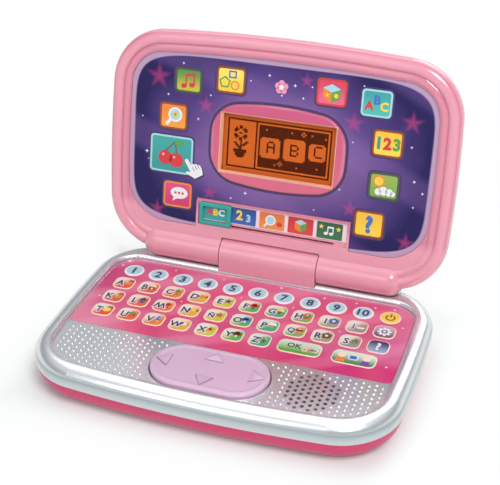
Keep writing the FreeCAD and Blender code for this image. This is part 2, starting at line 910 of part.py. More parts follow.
def barrels(radius, low, high, end_round):
    """Both lid barrels, closed by a rounded outer end."""
    barrel = along_hinge(low, high, radius)
    if end_round:
        barrel = round_end(barrel, high, end_round)
    return both_sides(barrel)


def lid_cuts():
    """What is taken out of both lid shells round the hinge."""
    start = block_half + hinge_gap
    top = lid_crest + lid_back + barrel_radius
    notch = box((-start, start), (-2 * barrel_radius, barrel_radius + hinge_gap), (-top, top))
    bore = along_hinge(-barrel_end, barrel_end, bush_radius + bush_gap)
    swing = closed_angle - (90 - lid_lean)
    groove = hinge_sector(stop_inner - stop_gap, stop_outer + stop_gap,
                          start, block_half + stop_height + stop_gap,
                          -90 - closed_angle - stop_half_angle - stop_gap_angle,
                          swing + 2 * (stop_half_angle + stop_gap_angle))
    wire_way = Part.makeCylinder(wire_radius + fit_gap, barrel_radius + hinge_gap + lid_wall,
                                 V(-wire_turn, 0, 0), V(0, 1, 0))
    return [notch, bore, wire_way] + both_sides(groove)


def half_barrels(front):
    """The barrels on one side of the plane where the lid's shells meet."""
    kept = box((-barrel_end, barrel_end), (-barrel_radius, barrel_radius),
               (0, barrel_radius) if front else (-barrel_radius, 0))
    whole_barrels = barrels(barrel_radius, block_half + hinge_gap, barrel_end, barrel_end_round)
    return [barrel.common(kept) for barrel in whole_barrels]


def lid_front_shell():
    """Pink frame of the lid: two rolls side by side round a sunken panel, barrels, selector tray."""
    roll = (lid_roll, lid_crest - lid_roll)
    section = [
        (0, 0),
        (0, roll[1]),
        arc(roll, lid_roll, 115, 50),
        (crease_inset, crease_height),
        (ridge_inset, ridge_height, lid_band, crease_height),
        (lid_band, plate_under),
        (crease_inset, crease_height - lid_wall),
        (lid_roll, lid_crest - lid_wall),
        (lid_wall, roll[1]),
        (lid_wall, 0),
    ]
    shell = lid_outline.ring(section).fuse(lid_outline.inset(lid_band).prism(plate_under, crease_height))
    start = block_half + hinge_gap
    tray_top = tray_head + tray_wall
    tray_outer = rounded_box(tray_half + tray_wall, (tray_top - panel_foot) / 2 + tray_corner, tray_corner,
                             panel_seat, crease_height, 0, (tray_top + panel_foot) / 2 - tray_corner)
    shell = shell.cut(panel_outline.prism(panel_seat, lid_crest).cut(tray_outer))
    wall_head = barrel_radius + hinge_gap + lid_wall
    closing = box((-start - end_wall, start + end_wall), (0, wall_head), (0, crease_height))
    outer = half_barrels(True)
    bosses = [post(x, u, boss_radius, 0, panel_seat) for x, u in lid_screw_places]
    shell = shell.fuse([closing] + outer + bosses)
    inside = barrels(barrel_radius - barrel_wall, start + end_wall, barrel_end - barrel_end_round, 0)
    tray = rounded_box(tray_half, (tray_head - tray_foot) / 2, tray_corner / 2, panel_seat, lid_crest,
                       0, (tray_head + tray_foot) / 2)
    window = box((-screen_half_width - pane_border - fit_gap, screen_half_width + pane_border + fit_gap),
                 (screen_u - screen_half_height - pane_border - fit_gap,
                  screen_u + screen_half_height + pane_border + fit_gap), (plate_under, panel_seat))
    slot_half = slider_travel / 2 + neck_width / 2 + slider_gap
    slot = box((-slot_half, slot_half), slot_limits(), (plate_under - cut_past, panel_seat))
    pilots = [post(x, u, screw_radius + fit_gap, 0, panel_seat - fit_gap) for x, u in lid_screw_places]
    return shell.cut(inside + [tray, window, slot] + pilots + lid_cuts()).removeSplitter()


def slot_limits():
    """The slot that the slider's neck runs in, just above the tray's foot."""
    low = tray_foot + slider_gap
    return low, low + neck_depth + 2 * slider_gap


def lid_back_shell():
    """Pink back of the lid: one flat face rolled up to the seam."""
    inner = lid_back - lid_wall
    centre = (lid_back, 0)
    section = [
        (0, 0),
        arc(centre, lid_back, 225, 270),
        (lid_band, -lid_back),
        (lid_band, -inner),
        (lid_back, -inner),
        arc(centre, inner, 225, 180),
    ]
    shell = lid_outline.ring(section).fuse(lid_outline.inset(lid_band).prism(-lid_back, -inner))
    start = block_half + hinge_gap
    wall_head = barrel_radius + hinge_gap + lid_wall
    closing = box((-start - end_wall, start + end_wall), (0, wall_head), (-lid_back, 0))
    outer = half_barrels(False)
    towers = [post(x, u, tower_radius, -lid_back, 0) for x, u in lid_screw_places]
    shell = shell.fuse([closing] + outer + towers)
    removed = barrels(barrel_radius - barrel_wall, start + end_wall, barrel_end - barrel_end_round, 0)
    for x, u in lid_screw_places:
        removed.append(post(x, u, screw_head_radius + screw_clearance, -lid_back, lid_screw_seat))
        removed.append(post(x, u, screw_radius + screw_clearance, -lid_back, 0))
    return shell.cut(removed + lid_cuts()).removeSplitter()


def screen_panel():
    """Printed sheet on the front shell, cut out round the bezel and the selector tray."""
    sheet = panel_outline.inset(fit_gap).prism(panel_seat, panel_seat + sheet_thickness)
    tray = box((-tray_half - tray_wall - fit_gap, tray_half + tray_wall + fit_gap),
               (0, tray_head + tray_wall + fit_gap), (0, lid_crest))
    return sheet.cut([tray, bezel_outline.inset(-fit_gap).prism(0, lid_crest)])


def lcd_bezel():
    """Raised surround of the display, with a sloping edge down to the pane."""
    top = panel_seat + bezel_proud
    bezel = round_rim(bezel_outline.prism(panel_seat, top), top, bezel_round)
    rims = []
    for grow, height in ((0, panel_seat), (bezel_proud / 2, top)):
        half_x = screen_half_width + grow
        half_y = screen_half_height + grow
        ways = ((1, 1), (-1, 1), (-1, -1), (1, -1))
        corners = [V(way_x * half_x, screen_u + way_y * half_y, height) for way_x, way_y in ways]
        rims.append(Part.makePolygon(corners + corners[:1]))
    return bezel.cut(Part.makeLoft(rims, True, True))


def screen_box(border, low, high):
    return box((-screen_half_width - border, screen_half_width + border),
               (screen_u - screen_half_height - border, screen_u + screen_half_height + border), (low, high))


def lcd_window():
    return screen_box(pane_border, panel_seat - pane_thickness, panel_seat)


def lcd_glass():
    return screen_box(glass_border, plate_under - glass_thickness, plate_under)


def lcd_holder():
    """Frame that clamps the display glass to the back of the front shell."""
    low = plate_under - glass_thickness
    frame = screen_box(glass_border + holder_wall, low - holder_back, plate_under)
    seat = screen_box(glass_border + fit_gap, low, plate_under)
    return frame.cut([seat, screen_box(-holder_wall, -lid_back, low)])


def lid_board():
    low = plate_under - glass_thickness - holder_back
    return screen_box(glass_border, low - lid_board_thickness, low)


def selector_strip():
    """Printed strip on the floor of the tray."""
    half_height = (tray_head - fit_gap - strip_foot) / 2
    return rounded_box(tray_half - fit_gap, half_height, tray_corner / 2, panel_seat,
                       panel_seat + sheet_thickness, 0, strip_foot + half_height)


def selector_slider():
    """Teal frame with a neck that runs in the slot; stands at the left end of its travel."""
    low = panel_seat + sheet_thickness + slider_gap
    top = low + slider_thickness
    half_height = (tray_head - tray_foot) / 2 - slider_gap
    middle = (tray_head + tray_foot) / 2
    x = -slider_travel / 2
    frame = rounded_box(slider_width / 2, half_height, tray_corner, low, top, x, middle)
    frame = round_rim(frame, top, slider_bar / 3)
    opening = rounded_box(slider_width / 2 - slider_bar, half_height - slider_bar, tray_corner / 2,
                          low, top, x, middle)
    foot, head = slot_limits()
    neck = box((x - neck_width / 2, x + neck_width / 2), (foot + slider_gap, head - slider_gap),
               (plate_under - slider_gap, low))
    return frame.cut(opening).fuse(neck).removeSplitter()


def selector_wiper():
    """Plate behind the front shell that keeps the slider in and carries its contact."""
    foot, head = slot_limits()
    x = -slider_travel / 2
    top = plate_under - slider_gap
    middle = (foot + head) / 2
    return box((x - wiper_width / 2, x + wiper_width / 2),
               (middle - wiper_height / 2, middle + wiper_height / 2), (top - wiper_thickness, top))


def lid_screws():
    return screws(lid_screw_places, lid_screw_seat, panel_seat - plate_under - lid_screw_seat)


def base_nodes():
    upper = overlay_top - overlay_thickness
    spacer = upper - membrane_sheet
    lower = spacer - membrane_spacer
    return {
        "base_bottom_shell": base_bottom_shell(),
        "base_top_shell": base_top_shell(),
        "rubber_feet": rubber_feet(),
        "case_screws": screws(case_screw_places, case_screw_seat, tower_top - case_screw_seat + screw_grip),
        "hinge_block": hinge_block(),
        "hinge_bushes": hinge_bushes(),
        "hinge_wires_base": hinge_wires_base(),
        "keyboard_overlay": overlay_sheet(0, overlay_top, overlay_thickness),
        "membrane_upper_sheet": overlay_sheet(membrane_margin, upper, membrane_sheet),
        "membrane_spacer": membrane_spacer_sheet(spacer),
        "membrane_lower_sheet": overlay_sheet(membrane_margin, lower, membrane_sheet),
        "main_board": main_board(),
        "main_board_screws": main_board_screws(),
        "speaker_frame": speaker_frame(),
        "speaker_cone": speaker_cone(),
        "speaker_magnet": speaker_magnet(),
        "cursor_board": cursor_board(),
        "cursor_rubber_mat": cursor_rubber_mat(),
        "cursor_pivot_ball": Part.makeSphere(pivot_ball, V(0, pad_y, pivot_z)),
        "cursor_pad": cursor_pad(),
        "battery_door": battery_door(),
        "battery_door_screw": battery_door_screw(),
        "battery_contacts": battery_contacts(),
        "aa_cells": aa_cells(),
    }


def lid_nodes():
    flat = {
        "lid_front_shell": lid_front_shell(),
        "lid_back_shell": lid_back_shell(),
        "screen_panel": screen_panel(),
        "lcd_bezel": lcd_bezel(),
        "lcd_window": lcd_window(),
        "lcd_glass": lcd_glass(),
        "lcd_holder": lcd_holder(),
        "lid_board": lid_board(),
        "hinge_wires_lid": hinge_wires_lid(),
        "selector_strip": selector_strip(),
        "selector_slider": selector_slider(),
        "selector_wiper": selector_wiper(),
        "lid_screws": lid_screws(),
    }
    return {name: opened(shape) for name, shape in flat.items()}


nodes = {**base_nodes(), **lid_nodes()}

# The part's origin is on the table, under the middle of the open toy.
whole = Part.makeCompound(list(nodes.values())).optimalBoundingBox(False, False)
to_origin = V(0, -(whole.YMin + whole.YMax) / 2, 0)

os.makedirs("parts", exist_ok=True)
for name, shape in nodes.items():
    shape.translate(to_origin)
    shape.exportStep("parts/" + name + ".step")
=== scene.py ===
import bpy
import json
import math
import random
from mathutils import Matrix, Vector
from mathutils.bvhtree import BVHTree


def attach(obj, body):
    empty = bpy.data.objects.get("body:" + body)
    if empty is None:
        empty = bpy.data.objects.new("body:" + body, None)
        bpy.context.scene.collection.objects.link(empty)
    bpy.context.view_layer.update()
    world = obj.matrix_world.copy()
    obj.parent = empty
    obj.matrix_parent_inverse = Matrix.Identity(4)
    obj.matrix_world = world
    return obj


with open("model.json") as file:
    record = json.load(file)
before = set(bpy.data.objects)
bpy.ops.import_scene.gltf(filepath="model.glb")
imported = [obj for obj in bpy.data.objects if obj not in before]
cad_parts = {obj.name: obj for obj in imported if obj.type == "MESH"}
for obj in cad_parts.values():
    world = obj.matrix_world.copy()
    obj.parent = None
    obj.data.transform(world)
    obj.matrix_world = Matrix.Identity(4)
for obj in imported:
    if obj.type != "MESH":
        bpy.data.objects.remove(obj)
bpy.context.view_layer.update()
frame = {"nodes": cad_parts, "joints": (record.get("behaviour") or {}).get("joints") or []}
nodes = frame["nodes"]


# Bottom tray of the base and its battery door: hot pink styrene, injection moulded with a fine
# spark texture. The tray's rounded wall meets the silver rim at a seam, and screws hold it from below.
def srgb(red, green, blue):
    def linear(value):
        share = value / 255
        return share / 12.92 if share <= 0.04045 else ((share + 0.055) / 1.055) ** 2.4
    return (linear(red), linear(green), linear(blue), 1.0)


def deeper(colour, share):
    return tuple(value * share for value in colour[:3]) + (1.0,)


def new_finish(name, colour, roughness, **sockets):
    finish = bpy.data.materials.new(name)
    finish.use_nodes = True
    shader = finish.node_tree.nodes["Principled BSDF"]
    shader.inputs["Base Color"].default_value = colour
    shader.inputs["Roughness"].default_value = roughness
    for socket, value in sockets.items():
        shader.inputs[socket.replace("_", " ")].default_value = value
    return finish


def node(owner, kind, inputs=None, **settings):
    """A step of a finish, made in the finish itself or in the same one as an earlier step."""
    tree = owner.id_data if isinstance(owner, bpy.types.NodeSocket) else owner.node_tree
    made = tree.nodes.new("ShaderNode" + kind)
    for key, value in settings.items():
        setattr(made, key, value)
    for key, value in (inputs or {}).items():
        if isinstance(value, bpy.types.NodeSocket):
            tree.links.new(value, made.inputs[key])
        else:
            made.inputs[key].default_value = value
    return made.outputs


def to_shader(socket, value):
    shader = value.id_data.nodes["Principled BSDF"]
    value.id_data.links.new(value, shader.inputs[socket])


def place_on(finish):
    return node(finish, "TexCoord")["Object"]


def axes(place):
    return node(place, "SeparateXYZ", {0: place})


def noise(place, scale, detail=2.0):
    return node(place, "TexNoise", {"Vector": place, "Scale": scale, "Detail": detail})[0]


def blend(share, first, second):
    return node(share, "Mix", {0: share, 6: first, 7: second}, data_type="RGBA")[2]


def remap(value, low, high, to_low=0.0, to_high=1.0):
    ends = {0: value, 1: low, 2: high, 3: to_low, 4: to_high}
    return node(value, "MapRange", ends, interpolation_type="SMOOTHSTEP")[0]


def add_bump(height, strength, distance=0.0002):
    bump = node(height, "Bump", {"Strength": strength, "Distance": distance, "Height": height})
    to_shader("Normal", bump[0])


def moulded(name, colour, roughness, grain=0.05, grain_size=2400.0, **sockets):
    """Moulded plastic: slow drifts of tone and gloss, and a fine grain from the tool."""
    finish = new_finish(name, colour, roughness, **sockets)
    place = place_on(finish)
    drift = noise(place, 16.0, 3.0)
    to_shader("Base Color", blend(drift, deeper(colour, 0.95), deeper(colour, 1.04)))
    to_shader("Roughness", remap(drift, 0.3, 0.7, roughness * 0.9, roughness * 1.12))
    add_bump(noise(place, grain_size), grain)
    return finish


def dress(finish, *names):
    for name in names:
        nodes[name].data.materials.clear()
        nodes[name].data.materials.append(finish)


hot_pink = moulded("hot_pink_moulding", srgb(210, 48, 104), 0.42, 0.12, Coat_Weight=0.08)
dress(hot_pink, "base_bottom_shell", "battery_door")


# Four feet that keep the toy from sliding: black vulcanised rubber, moulded with a dull skin.
# Each one is pressed into a shallow pocket under the tray and glued there.
foot_rubber = moulded("foot_rubber", srgb(46, 45, 47), 0.82, 0.5, 900.0)
dress(foot_rubber, "rubber_feet")


# Screws of the tray, the battery door, the lid and the main board: zinc-plated steel with turned
# heads. They are driven from below, or from behind, into bosses of the opposite shell.
def turned_metal(name, colour, roughness, ring_size):
    finish = new_finish(name, colour, roughness, Metallic=1.0)
    place = place_on(finish)
    tarnish = noise(place, 420.0, 4.0)
    to_shader("Base Color", blend(tarnish, deeper(colour, 0.75), colour))
    turning = noise(place, ring_size, 1.0)
    to_shader("Roughness", remap(turning, 0.3, 0.7, roughness * 0.8, roughness * 1.3))
    return finish


zinc = turned_metal("zinc_plate", srgb(188, 188, 184), 0.34, 1500.0)
dress(zinc, "case_screws", "battery_door_screw", "lid_screws", "main_board_screws")


# Silver rim and deck: one styrene moulding sprayed with silver lacquer, fine aluminium flake under
# a clear coat. The rolled wall, which drops to the sunken deck, is painted greyer and bluer below
# its crest, a painted shade standing for the shadowed floor that it reflects. The hinge trough is
# cut into the rear.
def grey(share):
    return (share, share, share, 1.0)


def ramp(value, *stops):
    """A scale of colours; each stop is its position and its colour."""
    made = node(value, "ValToRGB", {0: value})[0]
    steps = made.node.color_ramp.elements
    steps[0].position, steps[0].color = stops[0]
    steps[1].position, steps[1].color = stops[-1]
    for position, colour in stops[1:-1]:
        steps.new(position).color = colour
    return made


silver = srgb(226, 229, 231)
wall_painted_shade = srgb(150, 166, 170)
wall_foot = 0.0185
wall_crest = 0.0268
silver_lacquer = new_finish("silver_lacquer", silver, 0.23, Metallic=0.78, Coat_Weight=0.25,
                            Coat_Roughness=0.1)
silver_place = place_on(silver_lacquer)
flake = node(silver_lacquer, "TexVoronoi", {"Vector": silver_place, "Scale": 2600.0})["Distance"]
spray = noise(silver_place, 14.0, 3.0)
flake_colour = blend(flake, silver, deeper(silver, 0.84))
sprayed = blend(spray, deeper(silver, 0.97), flake_colour)
# Painted shade: below the crest the lacquer turns greyer and bluer down the wall.
up_wall = remap(axes(silver_place)[2], wall_foot, wall_crest)
wall_shade_share = ramp(up_wall, (0.0, grey(0.3)), (0.45, grey(0.55)), (0.8, grey(0.9)), (1.0, grey(0.0)))
to_shader("Base Color", blend(wall_shade_share, sprayed, wall_painted_shade))
to_shader("Roughness", remap(spray, 0.3, 0.7, 0.2, 0.26))
add_bump(flake, 0.06)
dress(silver_lacquer, "base_top_shell")


# Rows of small domes on the front deck, both sides of the cursor pad: part of the silver moulding,
# staggered on the same grid as the speaker's holes and left off where the deck isn't flat.
def new_piece(level=0.0, sunk=0.2, rise=0.05):
    """A piece in the making. Prints on it start below its level and rise above it by layers."""
    return {"points": [], "faces": [], "inks": [], "spots": [], "level": level, "sunk": sunk, "rise": rise}


def add_faces(piece, points, faces, ink, spots=None):
    start = len(piece["points"])
    piece["points"] += points
    piece["spots"] += spots or [(0.5, 0.5)] * len(points)
    piece["faces"] += [[start + index for index in face] for face in faces]
    piece["inks"] += [ink] * len(faces)


def add_solid(piece, rings, colour, spots=None, hollow=False):
    """A closed solid through outlines at their levels, with flat ends, or a hollow band."""
    count = len(rings[0][0])
    points = [(x, y, level) for outline, level in rings for x, y in outline]
    last = len(points) - count
    faces = [] if hollow else [tuple(reversed(range(count))), tuple(range(last, last + count))]
    for ring in range(len(rings) if hollow else len(rings) - 1):
        here, above = ring * count, (ring + 1) % len(rings) * count
        for step in range(count):
            beside = (step + 1) % count
            faces.append((here + step, here + beside, above + beside, above + step))
    add_faces(piece, points, faces, colour, spots)


def arc(x, y, radius, angles, squash=1.0):
    turns = [math.radians(angle) for angle in angles]
    return [(x + radius * math.cos(turn), y + radius * squash * math.sin(turn)) for turn in turns]


def disc(x, y, radius, steps=32, squash=1.0):
    return arc(x, y, radius, [360 * step / steps for step in range(steps)], squash)


def new_object(name, data):
    made = bpy.data.objects.new(name, data)
    bpy.context.scene.collection.objects.link(made)
    return made


def make_piece(name, piece, finishes, body, place=None):
    """Turn collected faces, in millimetres, into one object on a body."""
    mesh = bpy.data.meshes.new(name)
    mesh.from_pydata([Vector(point) * 0.001 for point in piece["points"]], [], piece["faces"])
    for finish in finishes:
        mesh.materials.append(finish)
    spots = mesh.uv_layers.new(name="spot")
    for loop in mesh.loops:
        spots.uv[loop.index].vector = piece["spots"][loop.vertex_index]
    for polygon, ink in zip(mesh.polygons, piece["inks"]):
        polygon.material_index = ink
        polygon.use_smooth = True
    mesh.set_sharp_from_angle(angle=math.radians(44))
    made = new_object(name, mesh)
    if place is not None:
        made.matrix_world = place
    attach(made, body)


dome_pitch_x = 4.05
dome_pitch_y = 4.37
dome_start = (61.98, -59.76)
dome_radius = 0.95
dome_height = 0.65
dome_profile = ((1.0, -0.12), (1.0, 0.12), (0.86, 0.52), (0.56, 0.86), (0.22, 0.99))
dome_clear = 2.3
beside_pad = 33
deck_level = 26.7
deck_mesh = nodes["base_top_shell"].data
deck_shape = BVHTree.FromPolygons([vertex.co.copy() for vertex in deck_mesh.vertices],
                                  [tuple(face.vertices) for face in deck_mesh.polygons])


def flat_deck(x, y):
    """True where the deck is flat round a point, with no hole, lip, pocket or wall."""
    for try_x, try_y in [(x, y)] + disc(x, y, dome_clear, 8):
        start = Vector((try_x, try_y, 60.0)) * 0.001
        hit = deck_shape.ray_cast(start, Vector((0, 0, -1)))[0]
        if hit is None or abs(hit.z * 1000 - deck_level) > 0.05:
            return False
    return True


deck_domes = new_piece()
for column in range(-42, 12):
    for row in range(-8, 8):
        dome_x = dome_start[0] + column * dome_pitch_x
        dome_y = dome_start[1] + (row + (column % 2) / 2) * dome_pitch_y
        if abs(dome_x) > beside_pad and flat_deck(dome_x, dome_y):
            rings = [(disc(dome_x, dome_y, dome_radius * reach, 12), deck_level + dome_height * rise)
                     for reach, rise in dome_profile]
            add_solid(deck_domes, rings, 0)
make_piece("deck_domes", deck_domes, [silver_lacquer], "base")


# Speaker behind the deck's round holes: a pressed black paper cone in a plated steel basket, with a
# ferrite magnet glued to its back. The battery contacts are bent from the same plated steel.
def plain_grain(name, colour, roughness, size, depth, **sockets):
    finish = new_finish(name, colour, roughness, **sockets)
    grain = noise(place_on(finish), size, 5.0)
    to_shader("Base Color", blend(grain, deeper(colour, 0.8), deeper(colour, 1.12)))
    add_bump(grain, depth, 0.0003)
    return finish


dress(plain_grain("cone_paper", srgb(12, 12, 13), 0.9, 900.0, 0.5), "speaker_cone")
dress(turned_metal("plated_steel", srgb(200, 198, 190), 0.3, 700.0), "speaker_frame", "battery_contacts")
dress(plain_grain("magnet_ferrite", srgb(52, 50, 50), 0.7, 700.0, 0.3), "speaker_magnet")


# Parts inside: boards of green glass laminate, membranes of polyester film, cells in printed
# wrappers, sleeved wires, a silicone contact mat, and small plain mouldings in white acetal. They are
# screwed, clipped or laid between the ribs of the shells.
laminate = plain_grain("board_laminate", srgb(30, 96, 60), 0.45, 260.0, 0.12, Coat_Weight=0.3)
dress(laminate, "main_board", "cursor_board", "lid_board")
film = plain_grain("polyester_film", srgb(214, 218, 220), 0.2, 120.0, 0.04)
dress(film, "membrane_upper_sheet", "membrane_spacer", "membrane_lower_sheet")
dress(plain_grain("cell_wrapper", srgb(74, 80, 92), 0.32, 200.0, 0.05, Metallic=0.4), "aa_cells")
wire_sleeve = plain_grain("wire_sleeve", srgb(176, 178, 184), 0.5, 600.0, 0.1)
dress(wire_sleeve, "hinge_wires_base", "hinge_wires_lid")
dress(plain_grain("mat_silicone", srgb(206, 206, 202), 0.66, 500.0, 0.15), "cursor_rubber_mat")
acetal = plain_grain("acetal", srgb(232, 231, 226), 0.38, 300.0, 0.06)
dress(acetal, "hinge_bushes", "cursor_pivot_ball", "lcd_holder", "selector_wiper")


# Cursor pad: one lilac styrene cap that rocks on a ball under the deck. A low rim and four raised
# arrowheads are moulded on its top, and the sides of the arrowheads are a deeper lilac, a painted shade.
def soft_rect(x, y, half_x, half_y, corner, steps=7):
    points = []
    for turn, way_x, way_y in ((0, 1, 1), (90, -1, 1), (180, -1, -1), (270, 1, -1)):
        points += arc(x + way_x * (half_x - corner), y + way_y * (half_y - corner), corner,
                      [turn + 90 * step / (steps - 1) for step in range(steps)])
    return points


def grown(outline, distance):
    """An anticlockwise outline moved outward at each point."""
    moved = []
    for index, (x, y) in enumerate(outline):
        before = outline[index - 1]
        after = outline[(index + 1) % len(outline)]
        along = Vector((after[0] - before[0], after[1] - before[1])).normalized()
        moved.append((x + along.y * distance, y - along.x * distance))
    return moved


def add_plate(piece, outline, low, high, colour, ease=0.0):
    """A closed plate with an eased top edge, from an anticlockwise outline."""
    profile = [(0.0, low), (0.0, high)]
    if ease:
        profile = [(0.0, low), (0.0, high - ease), (ease * 0.3, high - ease * 0.3), (ease, high)]
    left = min(x for x, y in outline)
    foot = min(y for x, y in outline)
    wide = max(x for x, y in outline) - left
    tall = max(y for x, y in outline) - foot
    spots = [((x - left) / wide, (y - foot) / tall) for x, y in outline]
    rings = [(grown(outline, -inset), level) for inset, level in profile]
    add_solid(piece, rings, colour, spots * len(rings))


def turned(x, y, degrees):
    cosine = math.cos(math.radians(degrees))
    sine = math.sin(math.radians(degrees))
    return x * cosine - y * sine, x * sine + y * cosine


def plain_colour(finish):
    """The colour that a finish has so far."""
    return finish.node_tree.nodes["Principled BSDF"].inputs["Base Color"].links[0].from_socket


pad_middle = -59.96
pad_level = 29.7
pad_half_x = 37.5
pad_half_y = 20.5
rim_profile = ((1.3, -0.5), (1.3, -0.15), (1.9, 0.2), (2.6, 0.3), (3.4, 0.2), (4.8, -0.05), (4.8, -0.5))
arrow_size = 12.0
arrow_rise = 1.0
pad_top = pad_level * 0.001
arrow_top = (pad_level + arrow_rise) * 0.001
lilac_moulding = moulded("lilac_moulding", srgb(212, 178, 206), 0.34, 0.05, Coat_Weight=0.45,
                         Coat_Roughness=0.1, Subsurface_Weight=0.12, Subsurface_Scale=0.002)
pad_up = axes(place_on(lilac_moulding))[2]
on_arrow = remap(pad_up, pad_top + 0.00031, pad_top + 0.0004)
# Painted shade: the arrowheads' sides are a deeper lilac, fading to the plain lilac at their tops.
arrow_shade_fade = remap(pad_up, arrow_top - 0.0002, arrow_top - 0.00005)
arrow_painted_shade = blend(arrow_shade_fade, srgb(176, 128, 168), srgb(210, 178, 204))
to_shader("Base Color", blend(on_arrow, plain_colour(lilac_moulding), arrow_painted_shade))
dress(lilac_moulding, "cursor_pad")

pad_relief = new_piece()
rim_rings = []
for inset, level in rim_profile:
    half_x, half_y = pad_half_x - inset, pad_half_y - inset
    rim_rings.append((soft_rect(0.0, pad_middle, half_x, half_y, half_y - 0.3, 24), pad_level + level))
add_solid(pad_relief, rim_rings, 0, hollow=True)
arrow_corners = [(0.5, 0.0), (-0.25, 0.5), (-0.25, -0.5)]
arrow_shape = []
for index, (x, y) in enumerate(arrow_corners):
    before, after = arrow_corners[index - 1], arrow_corners[(index + 1) % 3]
    for (to_x, to_y), share in ((before, 0.06), (before, 0.02), (after, 0.02), (after, 0.06)):
        arrow_shape.append((x + (to_x - x) * share, y + (to_y - y) * share))
for arrow_x, arrow_y, turn in ((-29.0, 0.0, 180), (29.0, 0.0, 0), (0.0, 10.4, 90), (0.0, -11.6, 270)):
    arrow = [turned(arrow_size * x, arrow_size * y, turn) for x, y in arrow_shape]
    arrow = [(arrow_x + x, pad_middle + arrow_y + y) for x, y in arrow]
    add_plate(pad_relief, arrow, pad_level - 0.3, pad_level + arrow_rise, 0, 0.35)
make_piece("pad_relief", pad_relief, [lilac_moulding], "cursor_pad")


# Keyboard overlay: one sheet of clear polyester, screen printed on its back in drifting pinks with
# pale streaks. It is glued to the deck over the membrane.
def sums(operation, *values):
    return node(values[0], "Math", dict(enumerate(values)), operation=operation)[0]


def bands(place, turn, scale, distortion, **inputs):
    """Soft slanting bands across a sheet."""
    line = node(place, "VectorRotate", {"Vector": place, "Angle": math.radians(turn)},
                rotation_type="Z_AXIS")[0]
    wave = {"Vector": line, "Scale": scale, "Distortion": distortion}
    wave.update({socket.replace("_", " "): value for socket, value in inputs.items()})
    return node(place, "TexWave", wave, bands_direction="Y")["Fac"]


overlay_print = new_finish("overlay_print", srgb(222, 80, 140), 0.22, Coat_Weight=0.55, Coat_Roughness=0.09)
overlay_place = place_on(overlay_print)
overlay_axes = axes(overlay_place)
wash = node(overlay_print, "TexNoise", {"Vector": overlay_place, "Scale": 15.0, "Detail": 2.0,
                                        "Distortion": 0.6})[0]
washed = blend(remap(wash, 0.36, 0.62), srgb(217, 74, 118), srgb(212, 102, 144))
left_edge = remap(overlay_axes[0], -0.07, -0.108)
low_left = remap(sums("ADD", overlay_axes[0], overlay_axes[1]), -0.085, -0.128, 0.0, 0.75)
low_right = sums("MULTIPLY", remap(overlay_axes[1], -0.014, -0.025),
                 remap(overlay_axes[0], 0.0, 0.06, 0.0, 0.85))
streak = remap(bands(overlay_place, -32, 9.0, 2.2, Detail=1.0, Detail_Scale=0.8), 0.55, 1.0, 0.0, 0.22)
for share, tint in ((left_edge, (196, 44, 112)), (low_left, (232, 138, 164)), (low_right, (206, 34, 108)),
                    (streak, (248, 170, 200))):
    washed = blend(share, washed, srgb(*tint))
to_shader("Base Color", washed)
add_bump(noise(overlay_place, 60.0, 1.0), 0.03, 0.0005)
dress(overlay_print, "keyboard_overlay")


# Printing inks of the keys, the panel and the strip: plain screen inks under a clear varnish, each
# slightly mottled by its screen. Every printed shape is a thin film of one ink.
def printed_ink(name, colour):
    finish = new_finish("ink_" + name, colour, 0.3, Coat_Weight=0.3, Coat_Roughness=0.12)
    mottle = noise(place_on(finish), 900.0)
    to_shader("Base Color", blend(mottle, deeper(colour, 0.93), deeper(colour, 1.05)))
    return finish


ink_colours = {
    "white": (238, 237, 241), "navy": (44, 46, 92), "red": (214, 42, 46), "orange": (238, 132, 44),
    "yellow": (248, 208, 62), "green": (86, 158, 66), "teal": (34, 150, 146), "blue": (58, 108, 190),
    "violet": (120, 76, 160), "brown": (122, 74, 44), "pink": (240, 150, 186), "cream": (246, 222, 200),
    "sky": (166, 214, 226), "grey": (120, 112, 136), "plum": (56, 36, 88), "gold": (206, 150, 52),
    "russet": (150, 56, 30), "bottle": (62, 78, 60),
}
ink_names = list(ink_colours)
inks = [printed_ink(name, srgb(*colour)) for name, colour in ink_colours.items()]


def ink(colour):
    """The place of an ink in its piece's list; a place that is known already stays as it is."""
    return colour if isinstance(colour, int) else ink_names.index(colour)


def layer_ends(piece, layer):
    return piece["level"] - piece["sunk"], piece["level"] + piece["rise"] * layer


def add_prints(piece, *prints):
    """Printed shapes, each with its layer, its ink and its outlines."""
    for layer, colour, *outlines in prints:
        for outline in outlines:
            add_plate(piece, outline, *layer_ends(piece, layer), ink(colour))


def add_ring(piece, layer, colour, outer, inner):
    low, high = layer_ends(piece, layer)
    add_solid(piece, [(outer, low), (outer, high), (inner, high), (inner, low)], ink(colour), hollow=True)


def star(x, y, radius, count=5, waist=0.45):
    points = []
    for step in range(2 * count):
        points += arc(x, y, radius if step % 2 == 0 else radius * waist, [90 + 180 * step / count])
    return points


def stroke(x, y, to_x, to_y, width):
    long = math.hypot(to_x - x, to_y - y)
    side_x = -(to_y - y) / long * width / 2
    side_y = (to_x - x) / long * width / 2
    return [(x - side_x, y - side_y), (to_x - side_x, to_y - side_y), (to_x + side_x, to_y + side_y),
            (x + side_x, y + side_y)]


letter_store = {}


def letter_shapes(text, weight):
    """A line of letters one unit tall as a solid mesh, from the built-in typeface."""
    if (text, weight) not in letter_store:
        curve = bpy.data.curves.new("lettering", "FONT")
        curve.body = text
        curve.extrude = 0.5
        curve.offset = weight
        curve.resolution_u = 3
        maker = new_object("lettering", curve)
        shown = maker.evaluated_get(bpy.context.evaluated_depsgraph_get())
        mesh = bpy.data.meshes.new_from_object(shown)
        letter_store[text, weight] = ([tuple(vertex.co) for vertex in mesh.vertices],
                                      [tuple(face.vertices) for face in mesh.polygons])
        bpy.data.objects.remove(maker)
        bpy.data.curves.remove(curve)
        bpy.data.meshes.remove(mesh)
    return letter_store[text, weight]


